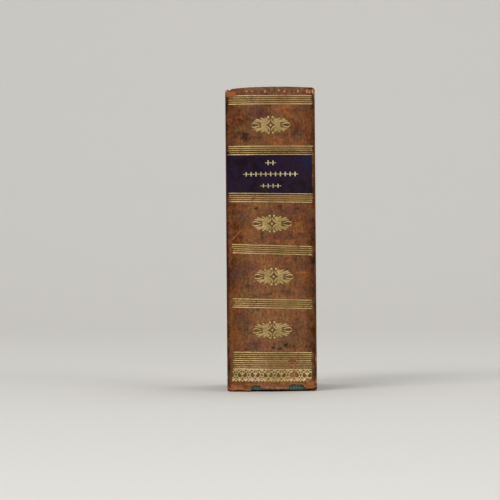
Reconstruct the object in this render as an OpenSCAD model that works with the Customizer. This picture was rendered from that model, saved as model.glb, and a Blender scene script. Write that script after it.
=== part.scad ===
// Antique leather-bound book, standing on its tail with the spine towards -Y.
// The front cover is on the +X side, the fore-edge looks towards +Y, and the origin is
// on the surface the book stands on, midway through its thickness and depth.

/* [Book] */
// Thickness over both covers
book_t = 53.4; // [44:0.2:70]
// Height of the covers
cover_h = 178.4; // [160:0.2:210]
// Depth from the crown of the spine to the fore-edge of the covers
book_d = 112; // [90:1:140]

/* [Boards] */
// Thickness of the pasteboard
board_t = 2.6; // [2:0.1:4]
// How far the covers stand out past the pages
square_w = 2.8; // [2.6:0.1:4]
// Radius of the blunted fore-edge corners
corner_r = 2.4; // [1.5:0.1:5]

/* [Leather] */
// Thickness of the covering leather
leather_t = 0.8; // [0.6:0.05:1.1]
// Thickness of the pared leather turned in round the edges
turn_in_t = 0.5; // [0.3:0.05:0.7]
// Width of the turn-ins on the inside of the covers
turn_in_w = 13; // [8:0.5:20]
// Rounding of the leather over the boards' edges
edge_r = 0.9; // [0.4:0.05:1.2]

/* [Spine] */
// Radius of the rounded back
spine_r = 72; // [60:1:110]
// Radius of the shoulders beside the joints
shoulder_r = 3; // [2.8:0.1:4]
// Thickness of the paper lining on the folds
lining_t = 0.4; // [0.2:0.05:0.6]
// Thickness of the card that stiffens the hollow back
stiffener_t = 0.6; // [0.4:0.05:0.9]
// Height of the worn head edge above the covers, at the crown
cap_rise = 2.3; // [1.6:0.1:3]
// How far the head cap leans in over the endband
cap_lean = 1.2; // [0.8:0.1:1.6]
// Length of the leather turned in at the head and tail of the spine
cap_turn_in = 14; // [8:1:25]

/* [Pages and endpapers] */
// Thickness of a flyleaf
flyleaf_t = 0.2; // [0.15:0.05:0.3]
// Thickness of a pastedown
pastedown_t = 0.2; // [0.15:0.05:0.3]
// Leather left showing round a pastedown
pastedown_margin = 4.5; // [3:0.5:8]

/* [Sewing] */
// Number of sunken cords
cord_count = 4; // [3:1:5]
// Thickness of a sewing cord
cord_d = 1.6; // [1:0.1:2]
// Distance from the ends of the pages to the first and last cord
cord_margin = 26; // [20:1:34]
// Reach of a laced cord from the edge of the board to its hole
slip_reach = 9; // [6:0.5:14]
// Width of the laced end where it is hammered flat
slip_w = 3; // [2.4:0.1:5]

/* [Endbands] */
// Thickness of the cord inside an endband
core_d = 1.2; // [0.8:0.1:1.3]
// Thickness of the silk wound round that cord
winding_t = 0.4; // [0.3:0.05:0.5]
// Length of the silk tied down over the back of the folds
tie_down_h = 7; // [4:0.5:12]

/* [Gilt tooling] */
// Thickness that stands for the gold leaf
gilt_t = 0.1; // [0.06:0.01:0.15]
// Half the width across the spine that the fillets reach
fillet_reach = 24.2; // [18:0.1:24.2]
// Width of the two heavy lines of a fillet
heavy_w = 0.72; // [0.4:0.02:0.9]
// Width of the fine lines of a fillet
fine_w = 0.42; // [0.25:0.01:0.6]
// Distance between the lines of a fillet
line_pitch = 1.23; // [1:0.01:1.5]
// Fine lines between the two heavy ones
fine_lines = 3; // [1:1:3]
// Distance from the head of the covers down to the first fillet
head_margin = 5.1; // [4:0.1:12]
// Distance from the tail of the covers up to the last fillet
tail_margin = 20.6; // [18:0.1:30]
// Height of the panel that holds the label, between the middles of its fillets
label_panel = 28.1; // [20:0.1:40]
// Length of a fleuron
fleuron_w = 24; // [16:0.5:32]
// Height of a fleuron
fleuron_h = 10.7; // [7:0.1:14]
// Height of the lace roll at the tail
roll_h = 5.4; // [4:0.1:6]
// Number of repeats in the lace roll
roll_repeats = 7; // [4:1:9]
// Thickness of the title label
label_t = 0.25; // [0.15:0.05:0.4]
// Distance between the lozenges on the label
ornament_pitch = 2.9; // [2.4:0.1:3.4]

/* [Hidden] */
$fn = 96;
// Room left between pieces that are pasted together
ease = 0.03;
// Film of paste under the label and the gold
glue = 0.01;
// Room between a cover and what it closes on
closing_gap = 0.3;
// Half the slit at the joint where the leather of spine and cover meets
joint_slit = 0.15;
// Offset of the hinge line outside the leather
hinge_out = 0.2;
// Overlap of the shoulders with the pages they are part of
root = 3;

half_t = book_t / 2;
// Angle from the crown at which the back runs into a shoulder
back_a = asin((half_t - shoulder_r) / (spine_r - shoulder_r));
// Depth of a shoulder's centre below the crown
shoulder_y = spine_r - (spine_r - shoulder_r) * cos(back_a);
joint_y = shoulder_y + 0.9;
cap_top = cover_h + cap_rise;

board_out = half_t - leather_t;
board_in = board_out - board_t;
cover_in = board_in - turn_in_t - pastedown_t;
board_y = joint_y + 1;
flyleaf_out = cover_in - closing_gap;
page_half = flyleaf_out - flyleaf_t;
page_bottom = square_w;
page_top = cover_h - square_w;

// Depths of the layers behind the outer face of the back
slot_depth = leather_t + stiffener_t + 2 * ease;
wrap_depth = slot_depth + turn_in_t;
lining_depth = wrap_depth + 3 * ease;
fold_depth = lining_depth + lining_t;
fold_r = spine_r - fold_depth;
leaf_w = book_d - square_w - fold_depth - page_half * page_half / (2 * fold_r);
shoulder_tip = board_out - ease;

// Worn outlines of the back, seen from the spine: [across, up], drawn for this half thickness
drawn_half = 27;
head_edge = [[-27, -2.4], [-24, -2.2], [-20, -1], [-12, -0.3], [0, 0], [10, 0], [18, -0.3], [24, -0.9], [27, -1.7]];
tail_edge = [
    [-27, 1.9], [-25.6, 1.2], [-23.6, 0.6], [-20, 0.9], [-16, 0.5], [-13.8, 0.4], [-12.8, 0.8], [-12.4, 3.2],
    [-10, 3.7], [-7.4, 3.4], [-6.6, 1.9], [-2, 1.6], [4, 1.3], [9.4, 1.5], [10.2, 3.6], [12, 4.1],
    [16, 4], [18.8, 3.7], [20, 2.6], [22, 2.9], [24.5, 3.2], [27, 2.7]
];
// What is left of the turn-in at the tail, whose fold is worn through: from, to, height
tail_remnants = [[-19, -13.4, 1.4], [-6, 9.2, 2.2]];

// Places of the fillets down the back, with the slips and slants of hand tooling
panel_h = (cover_h - head_margin - tail_margin - label_panel) / 4;
fillet_drop = [0, panel_h, panel_h + label_panel, 2 * panel_h + label_panel, 3 * panel_h + label_panel, 4 * panel_h + label_panel];
fillet_slip = [0, 1.1, 1, 1.3, 0.3, 0];
fillet_slant = [0.1, 0.1, 0.9, 1.9, 1.4, 0.6];
fillet_z = [for (i = [0:5]) cover_h - head_margin - fillet_drop[i] + fillet_slip[i]];
fillet_half = (fine_lines + 1) * line_pitch / 2;
fleuron_z = [for (i = [0, 2, 3, 4]) (fillet_z[i] + fillet_z[i + 1]) / 2];
fleuron_shift = [0.2, 0.5, 1.4, 0.3];
tail_lines_z = fillet_z[5] - fillet_half;
// The label runs on under the nearest lines of its two fillets
label_top = fillet_z[1] - fillet_half + 1.5 * line_pitch;
label_bottom = fillet_z[2] + fillet_half - 0.56 * line_pitch;

cord_z = [for (i = [0:cord_count - 1])
    page_bottom + cord_margin + i * (page_top - page_bottom - 2 * cord_margin) / (cord_count - 1)];
band_r = core_d / 2 + winding_t;
band_half_a = asin((page_half - 1) / fold_r);

// Puts the crown of the spine, drawn at y = 0, at its place in the standing book
module seated() translate([0, -book_d / 2, 0]) children();

// The back cover is the front one in a mirror
module on_side(side) mirror([side == "back" ? 1 : 0, 0, 0]) children();

// Turns a profile drawn as [radius, height] about the centre line of the back, from angle a to b
module round_back(a, b)
    translate([0, spine_r, 0]) rotate([0, 0, a - 90]) rotate_extrude(angle = b - a, $fn = 360) children();

// Part of a tube about the centre line of the back
module back_shell(r_in, r_out, z_low, z_high, half_a)
    round_back(-half_a, half_a) translate([r_in, z_low]) square([r_out - r_in, z_high - z_low]);

// Presses an outline, drawn as [across, up], on the leather of the back
module pressed(z, slant = 0, shift = 0, base = 0, half_a = back_a)
    intersection() {
        back_shell(spine_r + glue + base, spine_r + glue + base + gilt_t, 0, cover_h, half_a);
        translate([shift, spine_r / 2, z]) rotate([0, slant, 0]) rotate([90, 0, 0])
            linear_extrude(spine_r) children();
    }

// Closed solid through rings of points, one ring at each station, closed by end faces
module loft(rings, end_faces) {
    n = len(rings[0]);
    last = len(rings) - 1;
    polyhedron(
        points = [for (ring = rings) each ring],
        faces = concat(
            end_faces,
            [for (i = [0:last - 1]) for (j = [0:n - 1]) let (k = (j + 1) % n, a = i * n, b = a + n)
                each [[a + j, b + j, b + k], [a + j, b + k, a + k]]],
            [for (face = end_faces) [for (j = [len(face) - 1:-1:0]) last * n + face[j]]]
        )
    );
}

// Rectangle with rounded corners
module rounded_square(size, r) {
    translate([r, 0]) square([size[0] - 2 * r, size[1]]);
    translate([0, r]) square([size[0], size[1] - 2 * r]);
    for (x = [r, size[0] - r]) for (y = [r, size[1] - r]) translate([x, y]) circle(r);
}

// The sewn leaves, rounded and backed, with kerfs sawn for the cords
module text_block() color("#d8c8a2") translate([0, 0, page_bottom]) difference() {
    page_h = page_top - page_bottom;
    union() {
        linear_extrude(page_h) rounded_back_outline();
        for (m = [0, 1]) mirror([m, 0, 0]) linear_extrude(page_h) shoulder_outline();
    }
    linear_extrude(page_h) translate([0, spine_r + leaf_w]) circle(fold_r, $fn = 720);
    for (z = cord_z) cord_kerf(z - page_bottom);
}

module rounded_back_outline() {
    translate([-page_half, joint_y - 1]) square([2 * page_half, book_d - square_w - joint_y + 1]);
    intersection() {
        translate([0, spine_r]) circle(fold_r, $fn = 720);
        translate([-page_half, 0]) square([2 * page_half, joint_y]);
    }
}

// The outer folds, turned out at the joint to make the shoulder that the board butts against
module shoulder_outline() polygon([
    [page_half - root, joint_y + 2],
    [page_half - root, fold_edge_y() - 0.1],
    [shoulder_tip - 1.2, fold_edge_y() + 0.85],
    [shoulder_tip, joint_y - 0.9],
    [shoulder_tip - 0.2, joint_y - 0.2],
    [page_half, joint_y + 0.3],
    [page_half - 0.1, joint_y + 2]
]);

// Depth of the folds where the back meets the side of the pages
function fold_edge_y() = spine_r - sqrt(fold_r * fold_r - page_half * page_half);

module cord_kerf(z)
    round_back(-band_half_a - 0.4, band_half_a + 0.4) translate([fold_r - cord_d - ease, z - cord_d / 2 - ease])
        square([cord_d + 4 * ease, cord_d + 2 * ease]);

// Cord lying in its kerf, flush with the folds
module sewing_cord(z) color("#b79d72")
    round_back(-band_half_a, band_half_a) translate([fold_r - cord_d / 2 - ease, z]) circle(cord_d / 2);

module spine_lining() color("#b9a582")
    back_shell(fold_r + ease, fold_r + lining_t, page_bottom + tie_down_h + 1, page_top - tie_down_h - 1, band_half_a);

// Cord core of an endband, lying on the ends of the leaves
module band_core(z) color("#a89062")
    round_back(-band_half_a, band_half_a) translate([fold_r - band_r, z]) circle(core_d / 2 - ease);

// Silk wound round the core and tied down over the folds
module endband(z, up) color("#4f7a6c") {
    round_back(-band_half_a, band_half_a) translate([fold_r - band_r, z]) difference() {
        circle(band_r);
        circle(core_d / 2);
    }
    leaf_end = z - up * band_r;
    turned_over = leaf_end + up * band_r / 3;
    back_shell(fold_r - band_r / 2, fold_r + lining_t, min(turned_over, leaf_end), max(turned_over, leaf_end), band_half_a);
    tied_end = leaf_end - up * tie_down_h;
    back_shell(fold_r + ease, fold_r + lining_t, min(tied_end, leaf_end), max(tied_end, leaf_end), band_half_a);
}

// Card that keeps the leather back off the folds
module spine_stiffener() color("#9a8a6c")
    back_shell(spine_r - slot_depth + ease, spine_r - leather_t - ease, page_bottom + 2, page_top - ease, back_a - 1);

// Leather of the back: one skin lofted from joint to joint, ragged along the tail
module spine_leather() color("#774b31")
    loft([for (s = back_stations()) placed_section(s)], section_faces());

// Stations across the outer face of the back: [centre x, centre y, radius, angle]
function back_stations() = let (step = (90 - back_a) / 5, centre_x = half_t - shoulder_r) concat(
    [[half_t, joint_y - joint_slit, 0, 90]],
    [for (i = [0:5]) [centre_x, shoulder_y, shoulder_r, 90 - i * step]],
    [for (x = back_places()) [0, spine_r, spine_r, asin(x / spine_r)]],
    [for (i = [5:-1:0]) [-centre_x, shoulder_y, shoulder_r, i * step - 90]],
    [[-half_t, joint_y - joint_slit, 0, -90]]
);

// Places on the rounded back: each corner of the ragged tail, and steps of 1.6 mm between them
function back_places() = [
    for (i = [len(tail_edge) - 1:-1:1]) let (a = tail_edge[i][0], b = tail_edge[i - 1][0], n = ceil((a - b) / 1.6))
        for (k = [0:n - 1]) let (x = (a + (b - a) * k / n) * half_t / drawn_half)
            if (abs(x) < spine_r * sin(back_a) - 0.3) x
];

// Section of the leather as [depth below the outer face, height]: up the outside, over the
// leaning head cap, and down the turn-in behind the stiffener
function leather_section(x) = let (
    from_crown = abs(x) / half_t,
    low = lookup(x * drawn_half / half_t, tail_edge),
    top = cap_top + lookup(x * drawn_half / half_t, head_edge),
    lean = cap_lean * (1 - from_crown * from_crown),
    fold = wrap_depth / 2,
    bend = page_top,
    rise_h = top - fold - bend,
    rise = [for (t = [0.3, 0.6, 0.85]) [lean * smooth(t), bend + rise_h * t]],
    low_end = min(cap_top - cap_turn_in, bend - 0.3),
    turn_end = low_end + (bend - 0.3 - low_end) * smooth((from_crown - 0.7) / 0.15)
) concat(
    [[leather_t * 0.8, low], [0, low + 0.15], [0, bend]],
    rise,
    [for (a = [180:-30:0]) [lean + fold + fold * cos(a), top - fold + fold * sin(a)]],
    [for (i = [2:-1:0]) [rise[i][0] + wrap_depth, rise[i][1]]],
    [[wrap_depth, bend], [wrap_depth, turn_end], [slot_depth, turn_end], [slot_depth, bend]],
    [for (i = [0:2]) [rise[i][0] + slot_depth, rise[i][1]]],
    [for (i = [2:-1:0]) [rise[i][0] + leather_t, rise[i][1]]],
    [[leather_t, bend], [leather_t, low + 0.1]]
);

// Flat faces over that section: the foot, the outer wall, the fold and the turn-in
function section_faces() = concat(
    [[0, 1, 27]],
    [for (j = [1:4]) [j, j + 1, 27 - j, 28 - j]],
    [[9, 10, 11, 12, 13, 22, 23, 5, 6, 7, 8]],
    [for (j = [13:16]) [j, j + 1, 34 - j, 35 - j]]
);

function placed_section(s) = let (
    out = [sin(s[3]), -cos(s[3])],
    face = [s[0], s[1]] + s[2] * out
) [for (p = leather_section(face[0])) [face[0] - out[0] * p[0], face[1] - out[1] * p[0], p[1]]];

function smooth(t) = let (c = min(max(t, 0), 1)) c * c * (3 - 2 * c);

// Strips of the tail's turn-in that are still pasted behind the stiffener
module tail_turn_in() color("#8a5a36")
    for (t = tail_remnants) difference() {
        back_shell(spine_r - wrap_depth, spine_r - slot_depth, t[2], t[2] + cap_turn_in, back_a);
        for (side = [[-half_t, t[0]], [t[1], half_t]])
            translate([side[0], 0, 0]) cube([side[1] - side[0], spine_r, cover_h]);
    }

// Leather label pasted on before the fillets were tooled; its ends follow their slant
module title_label() color("#2e2330") {
    top_slip = half_t * sin(fillet_slant[1]);
    bottom_slip = half_t * sin(fillet_slant[2]);
    intersection() {
        back_shell(spine_r + glue, spine_r + glue + label_t, 0, cover_h, back_a - 0.1);
        translate([0, spine_r / 2, 0]) rotate([90, 0, 0]) linear_extrude(spine_r) polygon([
            [-half_t, label_bottom + bottom_slip], [half_t, label_bottom - bottom_slip],
            [half_t, label_top - top_slip], [-half_t, label_top + top_slip]
        ]);
    }
}

// Lozenges and dots in three rows where a title would stand
module label_ornament() color("#c2a266") for (row = [[1, 0.5], [0, 5], [-1, 1.5]])
    pressed((fillet_z[1] + fillet_z[2]) / 2 + row[0] * label_panel * 0.24, base = glue + label_t) dotted_row(row[1]);

module dotted_row(half_count) {
    step = ornament_pitch;
    for (i = [-half_count:half_count]) translate([i * step, 0]) lozenge(step * 0.33, step * 0.5);
    for (i = [-half_count - 0.5:half_count + 0.5]) translate([i * step, 0]) circle(step * 0.145, $fn = 48);
}

module lozenge(w, h) polygon([[-w, 0], [0, h], [w, 0], [0, -h]]);

// Fine lines between two heavy ones, ruled across the back by hand
module gilt_fillet(i) color("#c2a266") for (k = [0:fine_lines + 1])
    pressed(fillet_z[i], slant = fillet_slant[i], base = on_label(i, k) ? glue + label_t : 0)
        ruled_line(k * line_pitch - fillet_half, k % (fine_lines + 1) == 0 ? heavy_w : fine_w);

// Whether line k of fillet i, counted from below, lies on the label
function on_label(i, k) = (i == 1 && k < 2) || (i == 2 && k == fine_lines + 1);

module ruled_line(z, w) translate([-fillet_reach, z - w / 2]) square([2 * fillet_reach, w]);

module gilt_fleuron(i) color("#c2a266") pressed(fleuron_z[i], shift = fleuron_shift[i]) fleuron();

// Pointed leaf from the origin along +X, bounded by two arcs
module petal(l, w) {
    r = (l * l + w * w) / (4 * w);
    intersection() {
        translate([l / 2, r - w / 2]) circle(r, $fn = 180);
        translate([l / 2, w / 2 - r]) circle(r, $fn = 180);
    }
}

// Leafy lozenge: four sprays of lobed leaves about an open star, with a stud in its middle
module fleuron() {
    x = fleuron_w / 24;
    y = fleuron_h / 10.7;
    difference() {
        for (mx = [0, 1]) for (my = [0, 1]) mirror([mx, 0]) mirror([0, my]) spray(x, y);
        polygon([for (p = [[2.5, 0], [0.8, 0.9], [0, 2.7], [-0.8, 0.9], [-2.5, 0], [-0.8, -0.9], [0, -2.7], [0.8, -0.9]])
            [p[0] * x, p[1] * y]]);
        for (mx = [0, 1]) mirror([mx, 0]) {
            translate([6 * x, 0]) petal(5.2 * x, 1);
            for (my = [0, 1]) mirror([0, my]) translate([3.6 * x, 0.9 * y]) rotate(24) petal(3 * x, 0.4);
        }
    }
    difference() {
        lozenge(1.05, 1.05);
        lozenge(0.45, 0.45);
    }
}

// One quarter of the fleuron
module spray(x, y) {
    translate([0.6 * x, 1.3 * y]) rotate(48) petal(4.4 * y, 1.7);
    translate([0.9 * x, 0.9 * y]) rotate(29) petal(6.9 * x, 2.5);
    translate([2 * x, 0.6 * y]) rotate(15) petal(8.1 * x, 2.4);
    translate([4 * x, 0]) rotate(7) petal(7.9 * x, 1.6);
    translate([0, 0.4 * y]) rotate(14) petal(6.4 * x, 2.2);
    translate([6.6 * x, -0.4]) rotate(4) petal(5.4 * x, 1.9);
    translate([1.45 * x, 4.55 * y]) circle(0.68);
    translate([0.1, 1.9 * y]) rotate(66) petal(3.3 * y, 0.9);
}

// Fine lines under the last fillet, and the lace rolled along the tail
module tail_roll() color("#c2a266") pressed(tail_lines_z, slant = fillet_slant[5]) {
    for (k = [1:3]) ruled_line(-k * line_pitch, fine_w);
    translate([0, -4 * line_pitch]) {
        ruled_line(0, heavy_w);
        for (m = [0, 1]) mirror([m, 0]) zigzag();
        lace_buds();
    }
}

// Bar that runs down and up across the lace; with its mirror image it makes the lattice
module zigzag() {
    bar = 0.62;
    step = fillet_reach / roll_repeats;
    upper = [for (i = [0:2 * roll_repeats]) [i * step - fillet_reach, i % 2 == 0 ? 0.1 : bar - roll_h]];
    polygon(concat(upper, [for (i = [len(upper) - 1:-1:0]) upper[i] - [0, bar]]));
}

// A bud in each mesh of the lattice, dots between them, and beads along the lower edge
module lace_buds() {
    step = fillet_reach / roll_repeats;
    for (i = [1:2 * roll_repeats - 1]) translate([i * step - fillet_reach, -roll_h / 2]) lozenge(0.6, 1.1);
    for (i = [0.5:2 * roll_repeats]) translate([i * step - fillet_reach, 0]) {
        translate([0, -roll_h * 0.2]) circle(0.3, $fn = 6);
        translate([0, -roll_h * 0.8]) circle(0.35, $fn = 6);
    }
    for (i = [1:4 * roll_repeats - 1]) translate([i * step / 2 - fillet_reach, -roll_h - 0.75]) circle(0.42, $fn = 8);
}

// Pasteboard, with channels and holes for the laced cords
module board() color("#8d7a5c") difference() {
    cover_slab([board_in, board_out], board_y, leather_t, max(corner_r - leather_t, 0.4));
    for (z = cord_z) cord_slip(z);
}

// Slab standing behind the joint, inset from the cover's head, tail and fore-edge
module cover_slab(x, y, inset, r)
    translate([x[0], 0, 0]) rotate([90, 0, 90]) linear_extrude(x[1] - x[0]) intersection() {
        translate([y - 2 * r, inset]) rounded_square([book_d - inset - y + 2 * r, cover_h - 2 * inset], r);
        translate([y, 0]) square([book_d, cover_h]);
    }

// Cord laced through the board: flat in its channel, through the hole, fanned out inside
module cord_slip(z) {
    channel = 0.7;
    fan = 0.4;
    translate([board_out - channel, board_y, z - slip_w / 2]) cube([channel, slip_reach, slip_w]);
    translate([board_in, board_y + slip_reach, z]) rotate([0, 90, 0]) cylinder(h = board_t, d = slip_w);
    translate([board_in, board_y + slip_reach, z]) rotate([0, 90, 0]) cylinder(h = fan, d = 2.2 * slip_w);
}

module cord_slips() color("#b79d72") for (z = cord_z) cord_slip(z);

// Covering leather of one board, drawn over its edges and turned in round the inside
module cover_leather() color("#6f4630") difference() {
    intersection() {
        cover_slab([board_in - turn_in_t, half_t], joint_y + joint_slit, 0, corner_r);
        translate([board_in - turn_in_t, 0, 0])
            linear_extrude(cover_h) translate([0, joint_y - 2]) rounded_square([half_t - board_in + turn_in_t, book_d - joint_y + 2], edge_r);
        translate([board_in - turn_in_t, book_d, 0]) rotate([90, 0, 0])
            linear_extrude(book_d) rounded_square([half_t - board_in + turn_in_t, cover_h], edge_r);
    }
    cover_slab([board_in, board_out], board_y, leather_t, max(corner_r - leather_t, 0.4));
    translate([0, 0, leather_t]) cube([board_out, board_y + 0.01, cover_h - 2 * leather_t]);
    translate([0, 0, turn_in_w]) cube([board_in, book_d - turn_in_w, cover_h - 2 * turn_in_w]);
    cube([board_in, board_y, cover_h]);
}

// Endpaper pasted over the turn-ins, let into the middle of the board and down its edge
module pastedown() color("#d9cba8") {
    translate([cover_in, board_y, pastedown_margin])
        cube([pastedown_t, book_d - pastedown_margin - board_y, cover_h - 2 * pastedown_margin]);
    translate([cover_in, board_y, turn_in_w + ease])
        cube([board_in - cover_in, book_d - turn_in_w - ease - board_y, cover_h - 2 * turn_in_w - 2 * ease]);
    translate([cover_in, board_y - pastedown_t, pastedown_margin])
        cube([board_out - 0.4 - cover_in, pastedown_t, cover_h - 2 * pastedown_margin]);
}

// First free leaf, pasted along the shoulder
module flyleaf() color("#dccfae")
    translate([0, 0, page_bottom]) linear_extrude(page_top - page_bottom) polygon([
        [page_half, joint_y + 0.3],
        [shoulder_tip - 0.2, joint_y - 0.2],
        [shoulder_tip - 0.2, joint_y - 0.2 + flyleaf_t],
        [flyleaf_out, joint_y + 0.3 + flyleaf_t],
        [flyleaf_out, book_d - square_w - 1],
        [page_half, book_d - square_w - 1]
    ]);

seated() text_block();
seated() spine_lining();
seated() endband(page_top + band_r, 1);  // head_band
seated() band_core(page_top + band_r);  // head_band_core
seated() endband(page_bottom - band_r, -1);  // tail_band
seated() band_core(page_bottom - band_r);  // tail_band_core
seated() spine_stiffener();
seated() spine_leather();
seated() tail_turn_in();
seated() title_label();
seated() label_ornament();
seated() tail_roll();
for (i = [1:cord_count])
    seated() sewing_cord(cord_z[i - 1]);
for (i = [1:6])
    seated() gilt_fillet(i - 1);
for (i = [1:4])
    seated() gilt_fleuron(i - 1);
for (side = ["front", "back"]) {
    seated() on_side(side) board();
    seated() on_side(side) cover_leather();
    seated() on_side(side) pastedown();
    seated() on_side(side) cord_slips();
    seated() on_side(side) flyleaf();
}
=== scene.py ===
import random
from math import asin, atan2, copysign, cos, degrees, hypot, log, pi, radians, sin, sqrt

import bmesh
import bpy
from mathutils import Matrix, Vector, noise


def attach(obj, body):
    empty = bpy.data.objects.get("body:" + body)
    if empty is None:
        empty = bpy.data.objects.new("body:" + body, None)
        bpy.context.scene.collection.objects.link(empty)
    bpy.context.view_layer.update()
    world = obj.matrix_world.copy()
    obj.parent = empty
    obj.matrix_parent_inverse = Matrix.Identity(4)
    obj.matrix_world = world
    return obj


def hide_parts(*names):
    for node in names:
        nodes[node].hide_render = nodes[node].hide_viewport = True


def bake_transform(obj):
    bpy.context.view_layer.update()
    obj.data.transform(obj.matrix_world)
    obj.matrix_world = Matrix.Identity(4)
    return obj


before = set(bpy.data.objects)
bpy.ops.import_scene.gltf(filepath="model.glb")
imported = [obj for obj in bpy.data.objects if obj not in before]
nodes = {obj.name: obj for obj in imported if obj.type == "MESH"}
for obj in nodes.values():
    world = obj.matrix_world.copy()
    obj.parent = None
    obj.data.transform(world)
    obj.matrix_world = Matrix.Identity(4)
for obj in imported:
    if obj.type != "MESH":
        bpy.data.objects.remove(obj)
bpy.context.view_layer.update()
print("frame loaded:", len(nodes), "nodes")

# Sizes of the book in millimetres. Pieces are drawn with the crown of the spine at y = 0 and are
# then moved to their place in the frame.
book = {
    "halfThick": 26.7,
    "depth": 112.0,
    "height": 178.4,
    "backRadius": 72.0,
    "shoulderRadius": 3.0,
    "jointY": 8.1,  # depth of the hinge line below the crown
    "square": 2.8,  # how far the covers stand out past the pages
    "headTop": 181.2,  # top of the head cap at the crown
    "foldDepth": 2.45,  # the folds lie this far inside the outer face of the back
    "pageHalf": 22.1,
}
mm = 0.001
halfThick, bookDepth, bookHeight = book["halfThick"], book["depth"], book["height"]
backRadius, shoulderRadius = book["backRadius"], book["shoulderRadius"]
jointY, pageHalf = book["jointY"], book["pageHalf"]
sides = ((1, "front"), (-1, "back"))
pageTop = bookHeight - book["square"]
shoulderX = halfThick - shoulderRadius
innerRadius = backRadius - shoulderRadius
backAngle = asin(shoulderX / innerRadius)
shoulderY = backRadius - innerRadius * cos(backAngle)
backArc = backRadius * backAngle
shoulderArc = shoulderRadius * (pi / 2 - backAngle)
foldRadius = backRadius - book["foldDepth"]

# Outlines worn into the leather of the back, seen from the spine: across, up
headEdge = [
    (-26.7, -1.5), (-25.7, -1.5), (-24.6, -2.1), (-23.2, -1.1), (-20, -0.7), (-12, -0.25), (0, 0),
    (10, 0), (18, -0.2), (23.7, -0.45), (25.8, -0.5), (26.7, -1.0),
]
tailEdge = [
    (-26.7, 1.9), (-25.3, 1.2), (-23.3, 0.6), (-19.8, 0.9), (-15.8, 0.5), (-13.7, 0.4), (-12.7, 0.8),
    (-12.3, 3.2), (-9.9, 3.7), (-7.3, 3.4), (-6.5, 1.9), (-2, 1.6), (4, 1.3), (9.3, 1.5), (10.1, 3.6),
    (11.9, 4.1), (15.8, 4), (18.4, 3.7), (19.4, 2.2), (21.5, 1.5), (24.0, 1.5), (25.4, 2.2), (26.7, 2.7),
]


def ease(t):
    t = min(max(t, 0.0), 1.0)
    return t * t * (3 - 2 * t)


def ripple(x, y, z):  # smooth noise, about -1 to 1
    return noise.noise(Vector((x, y, z)))


def fall(across, slant):  # how far a slanting line has come down, this far across from the middle
    return across * sin(radians(slant))


def lookUp(x, outline):
    for (a, low), (b, high) in zip(outline, outline[1:]):
        if x <= b:
            return low + (high - low) * min(max((x - a) / (b - a), 0), 1)
    return outline[-1][1]


def skin(s, inwards=0.0):  # point of the outer face of the back, s mm along it from the crown
    side = copysign(1, s)
    a = abs(s)
    if a <= backArc:
        turn, r = a / backRadius, backRadius - inwards
        return side * r * sin(turn), backRadius - r * cos(turn)
    if a <= backArc + shoulderArc:
        turn, r = backAngle + (a - backArc) / shoulderRadius, shoulderRadius - inwards
        return side * (shoulderX + r * sin(turn)), shoulderY - r * cos(turn)
    return side * (halfThick - inwards), shoulderY + a - backArc - shoulderArc


def alongSkin(x):  # distance along the back of a point that is x mm across it
    if abs(x) <= shoulderX + 0.9:
        return copysign(backRadius * asin(min(abs(x) / backRadius, 1)), x)
    turn = asin(min((abs(x) - shoulderX) / shoulderRadius, 1))
    return copysign(backArc + (turn - backAngle) * shoulderRadius, x)


def unevenness(x, z):  # the hand-worked surface of the back, mm outwards
    return ripple(x * 0.07, 3.1, z * 0.045) * 0.09 + ripple(x * 0.35, 7.7, z * 0.3) * 0.03 - 0.09


label = {
    "left": -27.3, "right": 25.2, "low": 116.82, "high": 142.64,
    "lowSlant": 0.9, "highSlant": 0.1,  # degrees, as the fillets
    "thick": 0.24, "pared": 0.8,
}


def labelEnds(s):
    return label["low"] - fall(s, label["lowSlant"]), label["high"] - fall(s, label["highSlant"])


def labelHeight(s, z):  # the label's edges are pared down to nothing
    low, high = labelEnds(s)
    inside = min(s - label["left"], label["right"] - s, z - low, high - z)
    return label["thick"] * ease(inside / label["pared"])


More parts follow.
